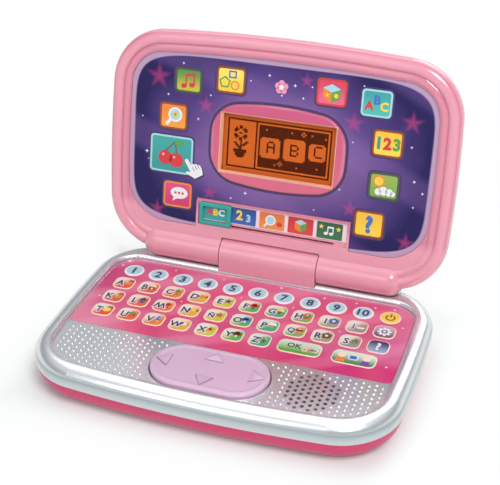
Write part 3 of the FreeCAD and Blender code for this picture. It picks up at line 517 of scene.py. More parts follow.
def add_letters(piece, layer, colour, text, x, y, height, weight, turn=0.0, narrow=1.0):
    """Printed letters centred on a point, as tall as stated."""
    points, faces = letter_shapes(text, weight)
    low, high = layer_ends(piece, layer)
    left = min(point[0] for point in points)
    right = max(point[0] for point in points)
    foot = min(point[1] for point in points)
    head = max(point[1] for point in points)
    size = height / (head - foot)
    placed = []
    for across, up, deep in points:
        over_x, over_y = turned((across - (left + right) / 2) * size * narrow,
                                (up - (foot + head) / 2) * size, turn)
        placed.append((x + over_x, y + over_y, low + (deep + 0.5) * (high - low)))
    add_faces(piece, placed, faces, ink(colour))


# Number keys: the first row of the overlay. Each is an embossed disc with a white rim, a pale blue
# middle and a dark blue number, all screen printed; the last one is the yellow power key.
overlay_level = 27.0
key_pitch = 18.0
row_pitch = 16.75
first_row = 31.24
key_rise = 0.35
key_ease = 0.3
key_sunk = 0.1
key_radius = 6.9
number_radius = 5.35
number_height = 7.2
plain_weight = 0.03
key_top = overlay_level + key_rise


def key_place(column, row):
    return (column - 5) * key_pitch, first_row - row * row_pitch


def add_cap(piece, colour, outline):
    """The embossed body of a key."""
    add_plate(piece, outline, overlay_level - 0.2, key_top, ink(colour), key_ease)


number_keys = new_piece(key_top, key_sunk)
for column in range(10):
    key_x, key_y = key_place(column, 0)
    add_cap(number_keys, "white", disc(key_x, key_y, key_radius, 48))
    add_prints(number_keys, (1, "sky", disc(key_x, key_y, number_radius, 40)))
    add_letters(number_keys, 2, "navy", str(column + 1), key_x, key_y, number_height, plain_weight)
power_x, power_y = key_place(10, 0)
power_angles = range(125, 416, 10)
power_arc = arc(power_x, power_y - 0.3, 3.3, power_angles)
power_arc += arc(power_x, power_y - 0.3, 2.2, reversed(power_angles))
add_cap(number_keys, "cream", disc(power_x, power_y, key_radius, 48))
add_prints(number_keys, (1, "yellow", disc(power_x, power_y, 5.9, 40)),
           (2, "brown", power_arc, soft_rect(power_x, power_y + 2.1, 0.55, 2.1, 0.5)))
make_piece("number_keys", number_keys, inks, "base")


# Letter keys: three rows of embossed rounded squares with cream outlines. Each face fades from pale
# to its column's hue, with a dark letter at the left and one small printed picture at the right.
def add_picture(piece, layer, picture, x, y, size, *colours):
    """A small picture. Its parts name their inks, or take the first or second colour given."""
    for over, colour, *outlines in picture:
        for outline in outlines:
            shape = [(x + size * across, y + size * up) for across, up in outline]
            add_prints(piece, (layer + over, colours[colour] if colour in (0, 1) else colour, shape))


def spot_on(finish):
    """A point's place across and up its own plate."""
    return axes(node(finish, "UVMap", uv_map="spot")[0])


half_turn = range(0, 181, 12)
fruit = ((0, 0, disc(0, -0.15, 0.8, 24, 0.92)), (1, "brown", stroke(0, 0.45, 0.2, 1.0, 0.22)),
         (1, 1, disc(0.5, 0.75, 0.38, 14, 0.55)), (1, "white", disc(-0.3, 0.1, 0.18, 12)))
ball = ((0, 0, disc(0, 0, 0.9, 28)), (1, 1, disc(0, 0, 0.9, 28, 0.3)),
        (2, "white", disc(0, 0.35, 0.2, 12)))
two_stars = ((0, 0, star(0, 0, 1.0)), (1, 1, star(0, 0, 0.5)))
house = ((0, 0, soft_rect(0, -0.35, 0.66, 0.55, 0.06, 3)),
         (1, 1, [(-0.95, 0.1), (0.95, 0.1), (0, 1.0)], soft_rect(0, -0.58, 0.2, 0.3, 0.05, 3)))
petals = [disc(x, y, 0.46, 16) for x, y in arc(0, 0, 0.55, range(90, 450, 72))]
flower = ((0, 0, *petals), (1, 1, disc(0, 0, 0.36, 16)))
tree = ((0, 1, stroke(0, -1.0, 0, 0, 0.34)),
        (1, 0, disc(-0.42, 0.1, 0.5, 18), disc(0.42, 0.1, 0.5, 18), disc(0, 0.5, 0.5, 18)))
kite = ((0, 0, [(0, -0.6), (0.65, 0.25), (0, 1.0), (-0.65, 0.25)]),
        (0, 1, stroke(0, -0.6, 0.4, -1.1, 0.16)), (1, 1, stroke(-0.6, 0.25, 0.6, 0.25, 0.12)))
boat = ((0, 0, [(-0.55, -0.85), (0.55, -0.85), (0.95, -0.3), (-0.95, -0.3)]),
        (1, 1, [(0.08, -0.2), (0.75, -0.2), (0.08, 1.0)], [(-0.6, -0.2), (-0.06, -0.2), (-0.06, 0.7)]))
mushroom = ((0, 1, soft_rect(0, -0.45, 0.3, 0.5, 0.15, 4)),
            (1, 0, arc(0, -0.05, 0.9, half_turn, 0.95 / 0.9)),
            (2, "white", disc(-0.4, 0.3, 0.15, 10), disc(0.1, 0.6, 0.15, 10), disc(0.45, 0.2, 0.15, 10)))
fish = ((0, 1, [(0.4, 0), (1.0, -0.5), (1.0, 0.5)]), (1, 0, disc(-0.2, 0, 0.72, 24, 0.66)),
        (2, "white", disc(-0.55, 0.12, 0.12, 10)))
pictures = (fruit, ball, two_stars, house, flower, tree, kite, boat, mushroom, fish)
picture_colours = (("red", "green"), ("orange", "navy"), ("gold", "brown"), ("yellow", "brown"),
                   ("white", "gold"), ("green", "brown"), ("red", "navy"), ("blue", "white"),
                   ("brown", "cream"), ("grey", "plum"))
picture_size = 3.3
letter_height = 6.0
letter_edge_height = 7.0
letter_edge_weight = 0.09

key_face = new_finish("letter_key_print", srgb(240, 200, 120), 0.3, Coat_Weight=0.35, Coat_Roughness=0.12)
key_hue = ramp(remap(axes(place_on(key_face))[0], -0.1, 0.1),
               (0.0, srgb(222, 72, 40)), (0.16, srgb(232, 132, 48)), (0.28, srgb(234, 178, 56)),
               (0.4, srgb(206, 200, 60)), (0.52, srgb(86, 172, 84)), (0.66, srgb(58, 166, 128)),
               (0.8, srgb(140, 172, 92)), (0.92, srgb(170, 150, 140)), (1.0, srgb(140, 126, 150)))
key_spot = spot_on(key_face)
key_mottle = node(key_face, "TexNoise", {"Scale": 700.0})[0]
key_pale = blend(key_mottle, srgb(246, 238, 222), srgb(238, 232, 226))
key_fade = remap(sums("SUBTRACT", key_spot[0], key_spot[1]), -0.5, 0.3, 0.15, 1.0)
to_shader("Base Color", blend(key_fade, key_pale, key_hue))

key_half_x = 7.1
key_half_y = 6.85
key_corner = 4.3
key_outline = 0.8


def add_key(piece, x, y, half_x, face):
    add_cap(piece, "cream", soft_rect(x, y, half_x, key_half_y, key_corner))
    add_prints(piece, (1, face, soft_rect(x, y, half_x - key_outline, key_half_y - key_outline,
                                          key_corner - key_outline)))


letter_keys = new_piece(key_top, key_sunk)
picture = 0
for row, letters in enumerate(("ABCDEFGHIJ", "KLMNÑOPQRS", "TUVWXYZ"), 1):
    for column, letter in enumerate(letters):
        key_x, key_y = key_place(column, row)
        add_key(letter_keys, key_x, key_y, key_half_x, len(inks))
        text, turn = ("W", 180) if letter == "M" else (letter, 0)
        letter_x, letter_y = key_x - 2.5, key_y - 0.5
        add_letters(letter_keys, 3, "white", text, letter_x, letter_y, letter_edge_height,
                    letter_edge_weight, turn, 0.95)
        add_letters(letter_keys, 4, "navy", text, letter_x, letter_y, letter_height, plain_weight, turn, 0.92)
        add_picture(letter_keys, 2, pictures[picture * 3 % 10], key_x + 2.5, key_y + 0.9, picture_size,
                    *picture_colours[(picture * 7 + row) % 10])
        picture += 1
make_piece("letter_keys", letter_keys, inks + [key_face], "base")


# Function keys at the right end: settings, help, a wide OK key and a wide key for two players.
# They are embossed and printed as the letter keys are.
def fading_ink(name, foot, head):
    """An ink that fades from the foot of its plate to the head."""
    finish = new_finish("fade_" + name, srgb(*foot), 0.3, Coat_Weight=0.35, Coat_Roughness=0.12)
    mottle = node(finish, "TexNoise", {"Scale": 600.0})[0]
    wander = sums("MULTIPLY_ADD", mottle, 0.12, spot_on(finish)[1])
    to_shader("Base Color", blend(remap(wander, 0.1, 1.0), srgb(*foot), srgb(*head)))
    return finish


function_keys = new_piece(key_top, key_sunk)
function_inks = inks + [fading_ink("help", (150, 170, 200), (70, 52, 104)),
                        fading_ink("settings", (120, 86, 112), (196, 168, 186)),
                        fading_ink("meadow", (92, 168, 54), (206, 226, 204)),
                        fading_ink("players", (70, 130, 84), (214, 232, 216))]
help_face, settings_face, meadow_face, players_face = range(len(inks), len(inks) + 4)
wide_half_x = 14.0

gear_x, gear_y = key_place(10, 1)
add_key(function_keys, gear_x, gear_y, key_half_x, settings_face)
gear_angles = range(10, 370, 45)
tooth_feet = arc(gear_x, gear_y, 2.4, gear_angles)
tooth_ends = arc(gear_x, gear_y, 4.5, gear_angles)
for foot, end in zip(tooth_feet, tooth_ends):
    add_prints(function_keys, (2, "white", stroke(*foot, *end, 1.7)))
add_prints(function_keys, (3, "white", disc(gear_x, gear_y, 3.4)), (4, "plum", disc(gear_x, gear_y, 2.0)),
           (5, "white", disc(gear_x, gear_y, 1.1, 20)))

help_x, help_y = key_place(10, 2)
add_key(function_keys, help_x, help_y, key_half_x, help_face)
add_letters(function_keys, 2, "white", "?", help_x, help_y, 7.6, plain_weight)

ok_x, wide_y = 44.0, first_row - 3 * row_pitch
add_key(function_keys, ok_x, wide_y, wide_half_x, meadow_face)
add_letters(function_keys, 2, "navy", "OK", ok_x - 3.4, wide_y + 1.2, 4.6, 0.02)
for over_x, petal in ((3.6, "cream"), (7.4, "pink"), (10.4, "white")):
    add_picture(function_keys, 2, flower, ok_x + over_x, wide_y - 1.4 + over_x * 0.08, 2.1, petal, "gold")
for over_x in (-10.5, -7.0, -4.0, -1.0, 1.6):
    add_prints(function_keys, (2, "green", disc(ok_x + over_x, wide_y - 4.6, 1.5, 16, 0.6)))

players_x = 78.9
add_key(function_keys, players_x, wide_y, wide_half_x, players_face)
for over_x, coat in ((-8.0, "orange"), (7.6, "violet")):
    add_prints(function_keys, (2, coat, arc(players_x + over_x, wide_y - 5.4, 3.0, half_turn, 5.6 / 3.0)),
               (3, "cream", disc(players_x + over_x, wide_y + 1.6, 2.6)))
add_prints(function_keys, (2, "white", soft_rect(players_x - 0.6, wide_y + 0.6, 2.9, 2.4, 0.8)),
           (3, "blue", soft_rect(players_x - 0.6, wide_y + 0.6, 2.2, 1.7, 0.5)))
make_piece("function_keys", function_keys, function_inks, "base")


# Sparkles on the overlay: small white dots on pink four-pointed glints, between the keys. They are
# screen printed with the rest of the sheet.
overlay_sparkles = new_piece(overlay_level, 0.1, 0.03)
for x, y, size in ((12.5, 42.6, 1.2), (43.5, 39.8, 1.1), (65.0, 40.6, 0.9), (78.0, 39.4, 1.0),
                   (90.5, 41.0, 0.9), (-27.5, 40.0, 0.8), (-63.0, 40.8, 0.9), (-100.5, 35.5, 1.0),
                   (100.0, 22.5, 0.8), (-9.0, 22.9, 0.7), (27.0, 22.6, 0.8), (-45.0, 6.2, 0.7),
                   (63.0, 6.1, 0.7), (-99.6, -4.5, 0.8), (99.5, -21.0, 0.9)):
    add_prints(overlay_sparkles, (1, "pink", star(x, y, size * 1.7, 4, 0.3)),
               (2, "white", disc(x, y, size * 0.6, 16)))
make_piece("overlay_sparkles", overlay_sparkles, inks, "base")


# Lid and hinge: glossy pale pink styrene. The front shell rolls over twice to the sunken panel, the
# back shell is one plain face with rounded edges, and both close round two barrels that turn beside
# the base's block. The valley between the two rolls is painted a deeper pink, a painted shade.
lid_pink = moulded("pale_pink_moulding", srgb(234, 155, 174), 0.23, 0.03, Coat_Weight=0.6,
                   Coat_Roughness=0.08, Subsurface_Weight=0.1, Subsurface_Scale=0.002)
hinge_joint = next(joint for joint in frame["joints"] if joint["name"] == "lid_hinge")
hinge_place = Vector(hinge_joint["pos_m"])
lid_turn = math.radians(78.07)


def lid_axes(finish):
    """A point's place on the lid: across, up from the hinge, and out of the lid's plane."""
    laid = {"Vector": place_on(finish), "Location": hinge_place, "Rotation": (lid_turn, 0.0, 0.0)}
    turned_back = node(finish, "Mapping", laid, vector_type="TEXTURE")[0]
    return turned_back, axes(turned_back)


lid_out = lid_axes(lid_pink)[1]
# Painted shade: a deeper pink by height out of the lid's plane, in the valley between the rolls.
valley = ramp(sums("MULTIPLY", lid_out[2], 100.0), (0.54, grey(0.0)), (0.58, grey(1.0)),
              (0.605, grey(1.0)), (0.73, grey(0.0)))
valley_painted_shade = sums("MULTIPLY", valley, remap(lid_out[1], 0.024, 0.032, 0.0, 0.6))
to_shader("Base Color", blend(valley_painted_shade, plain_colour(lid_pink), srgb(196, 100, 128)))
dress(lid_pink, "lid_front_shell", "lid_back_shell", "hinge_block")


# Printed panel round the display: a glossy sheet with a lilac border, and a purple field that fades
# from indigo edges to a mauve middle, with soft pink stars and faint beams. It lies in the lid's
# sunken front, and white sparkles are printed over it.
lid_plane = Matrix.Translation(hinge_place) @ Matrix.Rotation(lid_turn, 4, "X")
panel_level = 4.6
field_half_x = 0.1018
field_half_u = 0.0574
field_middle = 0.0755
field_power = 6.0
panel_print = new_finish("panel_print", srgb(104, 76, 152), 0.3, Specular_IOR_Level=0.22)
panel_place, panel_axes = lid_axes(panel_print)


def squared(value):
    return sums("MULTIPLY", value, value)


across = sums("DIVIDE", panel_axes[0], field_half_x)
upward = sums("DIVIDE", sums("SUBTRACT", panel_axes[1], field_middle), field_half_u)
field_edge = sums("ADD", *[sums("POWER", sums("ABSOLUTE", axis), field_power)
                                 for axis in (across, upward)])
spread = sums("SQRT", sums("ADD", squared(across), sums("MULTIPLY", squared(upward), 0.7)))
haze = sums("SUBTRACT", noise(panel_place, 22.0, 3.0), 0.5)
depth = sums("ADD", spread, sums("MULTIPLY", haze, 0.5))
field = ramp(depth, (0.25, srgb(139, 105, 160)), (0.72, srgb(84, 61, 129)), (1.0, srgb(35, 26, 86)))
beam = bands(panel_place, 24, 5.0, 1.2, Detail=0.0)
painted = blend(remap(beam, 0.6, 0.95, 0.0, 0.2), field, srgb(150, 112, 190))
for star_x, star_u, size in ((-0.085, 0.1165, 0.0062), (-0.051, 0.101, 0.0046), (0.0495, 0.1025, 0.0052),
                             (0.087, 0.1075, 0.0052), (-0.0455, 0.0415, 0.004), (0.052, 0.0455, 0.0045),
                             (-0.083, 0.0245, 0.0045), (0.0165, 0.1255, 0.0036), (0.0905, 0.0285, 0.0046)):
    from_x = sums("SUBTRACT", panel_axes[0], star_x)
    from_u = sums("SUBTRACT", panel_axes[1], star_u)
    away = sums("SQRT", sums("ADD", squared(from_x), squared(from_u)))
    bearing = sums("ADD", sums("ARCTAN2", from_x, from_u), math.tau)
    spoke = sums("PINGPONG", bearing, math.pi / 5)
    pinch = sums("ADD", sums("MULTIPLY", spoke, 2.1), 1.0)
    within = sums("DIVIDE", sums("MULTIPLY", away, pinch), size)
    glow = remap(within, 2.0, 0.1, 0.0, 0.42)
    painted = blend(glow, painted, srgb(214, 74, 142))
painted = blend(remap(field_edge, 0.94, 1.02), painted, srgb(188, 156, 188))
to_shader("Base Color", painted)
dress(panel_print, "screen_panel")

panel_sparkles = new_piece(panel_level)
dice = random.Random(7)
for x, u, size in ((-92, 64, 1.0), (-90.5, 59, 0.6), (-58, 112.5, 0.9), (-48, 108, 0.6), (15, 114, 0.8),
                   (20.5, 122, 0.6), (-20, 45, 0.9), (44, 57.5, 0.7), (88, 92, 0.7), (92, 70, 0.8),
                   (98, 63, 0.7), (-56, 91, 0.7), (-68, 127, 0.7), (-21, 121, 0.6), (-8.5, 126, 0.8),
                   (9, 121.5, 0.9), (0.5, 114, 0.7), (54, 127, 0.6), (50, 90, 0.6), (93, 53, 0.6),
                   (-96, 88, 0.6), (-30, 40, 0.6), (28, 41, 0.6), (-78, 105, 0.7)):
    shape = star(x, u, size * 1.5, 4, 0.35) if dice.random() < 0.45 else disc(x, u, size * 0.75, 18)
    add_prints(panel_sparkles, (1, "white", shape))
make_piece("panel_sparkles", panel_sparkles, inks, "lid", lid_plane)


# Printed pictures round the display: ten small cards with dark outlines and bright frames, a white
# pointing hand on the largest one, and a plain flower over the display. All are ink on the panel sheet.
cards = new_piece(panel_level)
card_inks = list(inks)
card_outline = 1.2
card_frame = 1.3
for x, u, half_x, half_u, frame_ink, name, foot, head in (
        (-64.0, 115.8, 9.3, 8.1, "bottle", "moss", (196, 190, 50), (84, 140, 60)),
        (-34.5, 119.6, 9.9, 8.7, "russet", "butter", (246, 206, 60), (250, 226, 96)),
        (33.4, 120.2, 9.9, 8.7, "red", "rose", (236, 96, 140), (214, 60, 96)),
        (63.0, 117.0, 9.9, 8.7, "sky", "lagoon", (74, 186, 178), (48, 160, 160)),
        (72.6, 92.2, 9.9, 8.7, "russet", "corn", (250, 214, 70), (246, 196, 54)),
        (72.8, 64.2, 9.9, 8.7, "bottle", "lawn", (120, 166, 60), (150, 178, 74)),
        (65.6, 37.2, 9.9, 8.9, "russet", "honey", (250, 210, 56), (244, 190, 50)),
        (-73.6, 90.6, 9.9, 8.9, "russet", "amber", (244, 160, 52), (240, 134, 44)),
        (-74.0, 64.2, 15.4, 12.9, "sky", "jade", (36, 150, 148), (48, 164, 158)),
        (-68.4, 36.4, 10.2, 8.9, "orange", "berry", (206, 40, 106), (222, 66, 128))):
    card_inks.append(fading_ink(name, foot, head))
    add_prints(cards, (1, "plum", soft_rect(x, u, half_x + card_outline, half_u + card_outline, 3.6)),
               (2, frame_ink, soft_rect(x, u, half_x, half_u, 2.6)),
               (3, len(card_inks) - 1, soft_rect(x, u, half_x - card_frame, half_u - card_frame, 1.6)))

for over_x in (-3.2, 2.4):
    note_u = 112.6 + over_x * 0.18
    add_prints(cards, (4, "red", disc(-64.0 + over_x, note_u, 2.0, 22, 0.8),
                                stroke(-62.4 + over_x, note_u, -62.4 + over_x, note_u + 7.0, 1.0)))
add_prints(cards, (5, "red", stroke(-66.0, 119.3, -59.6, 120.4, 1.7)))

add_ring(cards, 4, "green", star(-38.6, 118.0, 4.2, 5, 0.81), star(-38.6, 118.0, 3.0, 5, 0.81))
add_ring(cards, 4, "orange", disc(-31.6, 116.6, 3.1), disc(-31.6, 116.6, 2.1))
add_ring(cards, 4, "blue", soft_rect(-33.4, 123.6, 2.7, 2.5, 0.6, 3),
         soft_rect(-33.4, 123.6, 1.7, 1.5, 0.4, 3))

add_prints(cards, (4, "green", [(33.4, 113.6), (39.2, 116.6), (39.2, 122.8), (33.4, 120.2)]),
           (4, "orange", [(27.6, 116.6), (33.4, 113.6), (33.4, 120.2), (27.6, 122.8)]),
           (4, "sky", [(27.6, 122.8), (33.4, 120.2), (39.2, 122.8), (33.4, 125.6)]),
           (5, "yellow", disc(36.4, 118.3, 1.5, 20), star(30.4, 118.4, 1.8)))

for text, x, u, height, colour, weight in (
        ("A", 58.2, 115.2, 6.0, "red", 0.045), ("B", 63.2, 119.2, 6.0, "blue", 0.045),
        ("C", 68.0, 115.4, 6.0, "yellow", 0.045), ("1", 66.8, 92.2, 8.2, "teal", 0.05),
        ("2", 72.4, 92.2, 8.2, "red", 0.05), ("3", 78.4, 92.2, 8.2, "green", 0.05),
        ("?", 65.6, 37.2, 12.2, "blue", 0.05)):
    add_letters(cards, 4, colour, text, x, u, height, weight)

add_prints(cards, (4, "orange", star(69.4, 67.2, 4.6, 10, 0.72)), (5, "yellow", disc(69.4, 67.2, 2.9)),
           (6, "white", disc(69.4, 60.2, 2.2, 22), disc(72.8, 61.0, 2.9, 22), disc(76.6, 60.5, 2.5, 22),
            disc(79.0, 59.8, 1.7, 22)))

add_prints(cards, (4, "white", stroke(-78.6, 84.6, -75.4, 88.6, 2.2)),
           (5, "white", disc(-72.4, 91.8, 5.0, 36)), (6, "sky", disc(-72.4, 91.8, 3.7, 32)))
add_picture(cards, 7, flower, -72.4, 91.8, 2.1, "yellow", "green")

for cherry_x, cherry_u in ((-78.4, 61.6), (-70.4, 60.4)):
    add_prints(cards, (4, "red", disc(cherry_x, cherry_u, 5.0, 36)),
               (5, "pink", disc(cherry_x - 1.6, cherry_u + 2.0, 1.0, 14)),
               (5, "brown", stroke(cherry_x, cherry_u + 4.4, -71.4, 73.4, 0.9)))
add_prints(cards, (6, "green", disc(-68.6, 72.6, 3.4, 24, 0.5)))

hand_tip = (-63.4, 62.4)
hand_size = 1.2
hand_slant = 32
hand = [(-1.1, -8.0), (-2.2, -7.0), (-3.2, -6.5), (-4.0, -7.0), (-3.6, -8.0), (-1.4, -10.8),
        (-0.6, -12.2), (4.8, -12.2), (5.5, -10.6), (6.0, -8.5), (5.9, -6.8), (5.2, -6.1), (4.6, -6.0),
        (4.2, -5.2), (3.5, -4.8), (2.9, -4.9), (2.5, -4.2), (1.8, -4.0), (1.1, -4.4), (1.1, -0.9),
        (0.7, -0.2), (0.0, 0.0), (-0.7, -0.2), (-1.1, -0.9)]


def pointing(points, grow=1.0, drop=0.0):
    """The hand's points, turned to point up and left at the large card's corner."""
    slanted = [turned(hand_size * grow * x, hand_size * grow * u, hand_slant) for x, u in points]
    return [(hand_tip[0] + drop + x, hand_tip[1] - drop + u) for x, u in slanted]


folds = [pointing(stroke(fold_x, -8.2, fold_x, -5.6, 0.35)) for fold_x in (1.3, 3.1, 4.7)]
add_prints(cards, (4, "plum", pointing(hand, 1.04, 0.5)), (7, "white", pointing(hand)), (8, "grey", *folds))

add_prints(cards, (4, "white", [(-72.0, 31.6), (-67.0, 34.6), (-70.6, 36.4)]),
           (5, "white", disc(-67.2, 37.8, 6.2, 36, 0.66)),
           (6, "red", *[disc(dot_x, 37.8, 0.85, 16) for dot_x in (-69.8, -67.2, -64.6)]))

add_picture(cards, 2, flower, 0.0, 119.4, 4.6, "pink", "white")
make_piece("panel_pictures", cards, card_inks, "lid", lid_plane)


# Display surround: a raised frame of glossy pink styrene, clipped over the panel. It is painted darker
# towards its top and paler at its outer edge, a painted shade and a painted highlight. Round its foot a
# dark plum line on the panel is a painted shadow, and a violet line is printed beyond it.
screen_middle = 78.1
window_middle = screen_middle * 0.001
window_half_x = 0.0396
window_half_u = 0.0206
bezel_half_x = 0.046
bezel_half_u = 0.0285
bezel_pink = new_finish("bezel_moulding", srgb(216, 100, 146), 0.26, Coat_Weight=0.2, Coat_Roughness=0.12)
bezel_place, bezel_axes = lid_axes(bezel_pink)
beside_window = sums("ABSOLUTE", bezel_axes[0])
over_window = sums("COMPARE", bezel_axes[1], window_middle, window_half_u)
in_window = sums("MULTIPLY", over_window, remap(beside_window, window_half_x + 0.0003, window_half_x))
bezel_across = sums("DIVIDE", beside_window, bezel_half_x)
bezel_upward = sums("DIVIDE", sums("SUBTRACT", bezel_axes[1], window_middle), bezel_half_u)
bezel_upward = sums("ABSOLUTE", bezel_upward)
bezel_reach = sums("ADD", sums("POWER", bezel_across, 4.0), sums("POWER", bezel_upward, 4.0))
# Painted shade and highlight: darker towards the frame's top, paler at its outer edge.
bezel_shade_and_highlight = blend(remap(bezel_axes[1], 0.05, 0.106), srgb(216, 102, 130), srgb(204, 86, 126))
bezel_shade_and_highlight = blend(remap(bezel_reach, 0.75, 1.1, 0.0, 0.7), bezel_shade_and_highlight, srgb(230, 158, 182))
to_shader("Base Color", blend(in_window, bezel_shade_and_highlight, srgb(238, 178, 150)))
add_bump(noise(bezel_place, 2400.0), 0.03)
dress(bezel_pink, "lcd_bezel")

bezel_foot = 4.0
opening_half_x = 38.4
opening_half_u = 19.5
to_lid = lid_plane.inverted()
bezel_edge = {}
for vertex in nodes["lcd_bezel"].data.vertices:
    point = to_lid @ vertex.co * 1000
    over = point.y - screen_middle
    if abs(point.z - bezel_foot) < 0.02 and (abs(point.x) > opening_half_x or abs(over) > opening_half_u):
        bezel_edge[round(math.atan2(over, point.x), 4)] = (point.x, point.y)
bezel_edge = [bezel_edge[angle] for angle in sorted(bezel_edge)]
bezel_shadow_and_line = new_piece(panel_level)
# Painted shadow: the dark plum ring round the frame's foot; the violet ring beyond it is print.
add_ring(bezel_shadow_and_line, 1.2, "plum", grown(bezel_edge, 1.9), grown(bezel_edge, 0.25))
add_ring(bezel_shadow_and_line, 1, "violet", grown(bezel_edge, 2.5), grown(bezel_edge, 1.9))
make_piece("bezel_shadow_and_line", bezel_shadow_and_line, inks, "lid", lid_plane)


# Display: an amber reflective liquid-crystal glass under a clear pane. Its dark cells show a framed
# picture of a potted flower and three letter tiles.
amber_glass = plain_grain("amber_glass", srgb(234, 112, 40), 0.6, 60.0, 0.02, Specular_IOR_Level=0.12)
dress(amber_glass, "lcd_glass")
pane = new_finish("clear_pane", (0.04, 0.02, 0.01, 1.0), 0.05, Alpha=0.05, Specular_IOR_Level=0.2)
pane_haze = node(pane, "TexNoise", {"Scale": 90.0})[0]
to_shader("Roughness", remap(pane_haze, 0.3, 0.7, 0.03, 0.08))
dress(pane, "lcd_window")
lcd_dark = plain_grain("lcd_cells", srgb(90, 32, 6), 0.7, 500.0, 0.02, Specular_IOR_Level=0.08)


def cells(columns, rows):
    return {(column, row) for column in columns for row in rows}


def marked(lines, left, top):
    """The cells that are marked in a small drawing, from its top left corner."""
    return {(left + column, top - row) for row, line in enumerate(lines)
            for column, mark in enumerate(line) if mark == "1"}


cell = 1.15
cell_gap = 0.02
cell_columns = 66
cell_rows = 33
glass_level = 2.0
dark_cells = cells(range(2, cell_columns - 2), (2, cell_rows - 3))
dark_cells |= cells((2, 19, cell_columns - 3), range(2, cell_rows - 2))
dark_cells |= cells(range(21, cell_columns - 4), range(4, cell_rows - 4))
for left, foot, wide, lines in (
        (22, 10, 12, ("01110", "10001", "10001", "11111", "10001", "10001", "10001")),
        (36, 10, 13, ("11110", "10001", "10001", "11110", "10001", "10001", "11110")),
        (51, 12, 10, ("01111", "10000", "10000", "10000", "10000", "10000", "01111"))):
    tile = cells(range(left, left + wide), range(foot, foot + wide))
    tile -= cells((left, left + wide - 1), (foot, foot + wide - 1))
    dark_cells -= tile
    dark_cells |= marked(lines, left + wide // 2 - 2, foot + wide // 2 + 3)
dark_cells -= {(25, 26), (31, 6), (40, 26), (47, 25), (48, 26), (47, 27), (46, 26), (34, 6), (33, 7),
               (35, 7), (34, 8), (56, 7), (60, 25), (44, 6), (52, 26)}
potted_flower = ("0000110000", "0010110100", "0111001110", "0110000110", "0000110000", "0110000110",
                 "0111001110", "0010110100", "0000110000", "0000010011", "0110010110", "0011011100",
                 "0001110000", "0000110000", "0111111110", "0111111110", "0011111100", "0011111100",
                 "0001111000")
dark_cells |= marked(potted_flower, 5, 26)
lcd_picture = new_piece(glass_level, 0.1)
for row in range(cell_rows):
    foot = screen_middle + (row - cell_rows / 2) * cell
    head = foot + cell - cell_gap
    column = 0
    while column < cell_columns:
        if (column, row) in dark_cells:
            end = column
            while (end, row) in dark_cells:
                end += 1
            left = (column - cell_columns / 2) * cell
            right = (end - cell_columns / 2) * cell
            add_prints(lcd_picture, (1, 0, [(left, foot), (right, foot), (right, head), (left, head)]))
            column = end
        column += 1
make_piece("lcd_picture", lcd_picture, [lcd_dark], "lid", lid_plane)


# Selector: a printed paper strip of five pictures, glued to the floor of its tray, and a teal styrene
# frame that slides over it on a neck through the shell.
strip_white = plain_grain("strip_paper", srgb(242, 218, 226), 0.3, 300.0, 0.03, Coat_Weight=0.4)
dress(strip_white, "selector_strip")
teal_moulding = moulded("teal_moulding", srgb(28, 160, 152), 0.23, 0.03, Coat_Weight=0.35,
                        Coat_Roughness=0.1)
dress(teal_moulding, "selector_slider")
strip_level = 4.6
strip_middle = 28.4
strip_pitch = 20.0
strip_inks = list(inks)
strip_pictures = new_piece(strip_level, 0.2, 0.03)
for position, (foot, head) in enumerate((((40, 160, 160), (30, 130, 140)), ((40, 96, 176), (24, 66, 140)),
                                         ((238, 140, 50), (226, 110, 40)), ((222, 50, 50), (196, 30, 46)),
                                         ((34, 110, 62), (22, 84, 52)))):
    strip_inks.append(fading_ink("strip_%d" % position, foot, head))
    add_prints(strip_pictures, (1, len(inks) + position,
                                soft_rect((position - 2) * strip_pitch, strip_middle, 8.8, 5.7, 0.8, 4)))
for text, x, over, height, colour in (("A", -44.2, 0.0, 4.8, "red"), ("B", -40.0, 0.0, 4.8, "yellow"),
                                      ("C", -35.8, 0.0, 4.8, "white"), ("2", -23.0, 0.6, 7.0, "yellow"),
                                      ("3", -16.6, -0.8, 5.4, "sky")):
    add_letters(strip_pictures, 2, colour, text, x, strip_middle + over, height, 0.04)
add_prints(strip_pictures, (2, "white", stroke(-5.4, strip_middle - 4.2, -2.8, strip_middle - 1.4, 1.4)),
           (3, "white", disc(-1.0, strip_middle + 0.6, 3.6, 30)),
           (4, "sky", disc(-1.0, strip_middle + 0.6, 2.6, 26)),
           (2, "red", disc(5.4, strip_middle - 1.6, 2.0, 20, 0.8)))
add_prints(strip_pictures, (2, "green", [(20.0, 24.2), (24.0, 26.2), (24.0, 31.0), (20.0, 29.0)]),
           (2, "orange", [(16.0, 26.2), (20.0, 24.2), (20.0, 29.0), (16.0, 31.0)]),
           (2, "sky", [(16.0, 31.0), (20.0, 29.0), (24.0, 31.0), (20.0, 32.8)]))
for over_x in (-1.8, 1.8):
    add_prints(strip_pictures, (2, "white", disc(39.4 + over_x, 26.4, 1.4, 18, 0.8),
                                stroke(40.6 + over_x, 26.4, 40.6 + over_x, 31.0, 0.7)))
add_prints(strip_pictures, (3, "white", stroke(38.5, 30.8, 42.8, 30.8, 1.2)),
           (2, "yellow", star(34.2, 30.8, 1.9), star(46.0, 30.2, 1.9)))
make_piece("strip_pictures", strip_pictures, strip_inks, "lid", lid_plane)


# Stage: a white paper sweep under four soft studio lamps, between pale walls that the gloss reflects.
# The paper takes the shadow close to the base and is bare white farther out, and the camera stands at
# the photograph's place.
floor_half = 4.0
floor_mesh = bpy.data.meshes.new("floor")
floor_mesh.from_pydata([(-floor_half, -floor_half, 0), (floor_half, -floor_half, 0),
                        (floor_half, floor_half, 0), (-floor_half, floor_half, 0)], [], [(0, 1, 2, 3)])
floor = new_object("floor", floor_mesh)


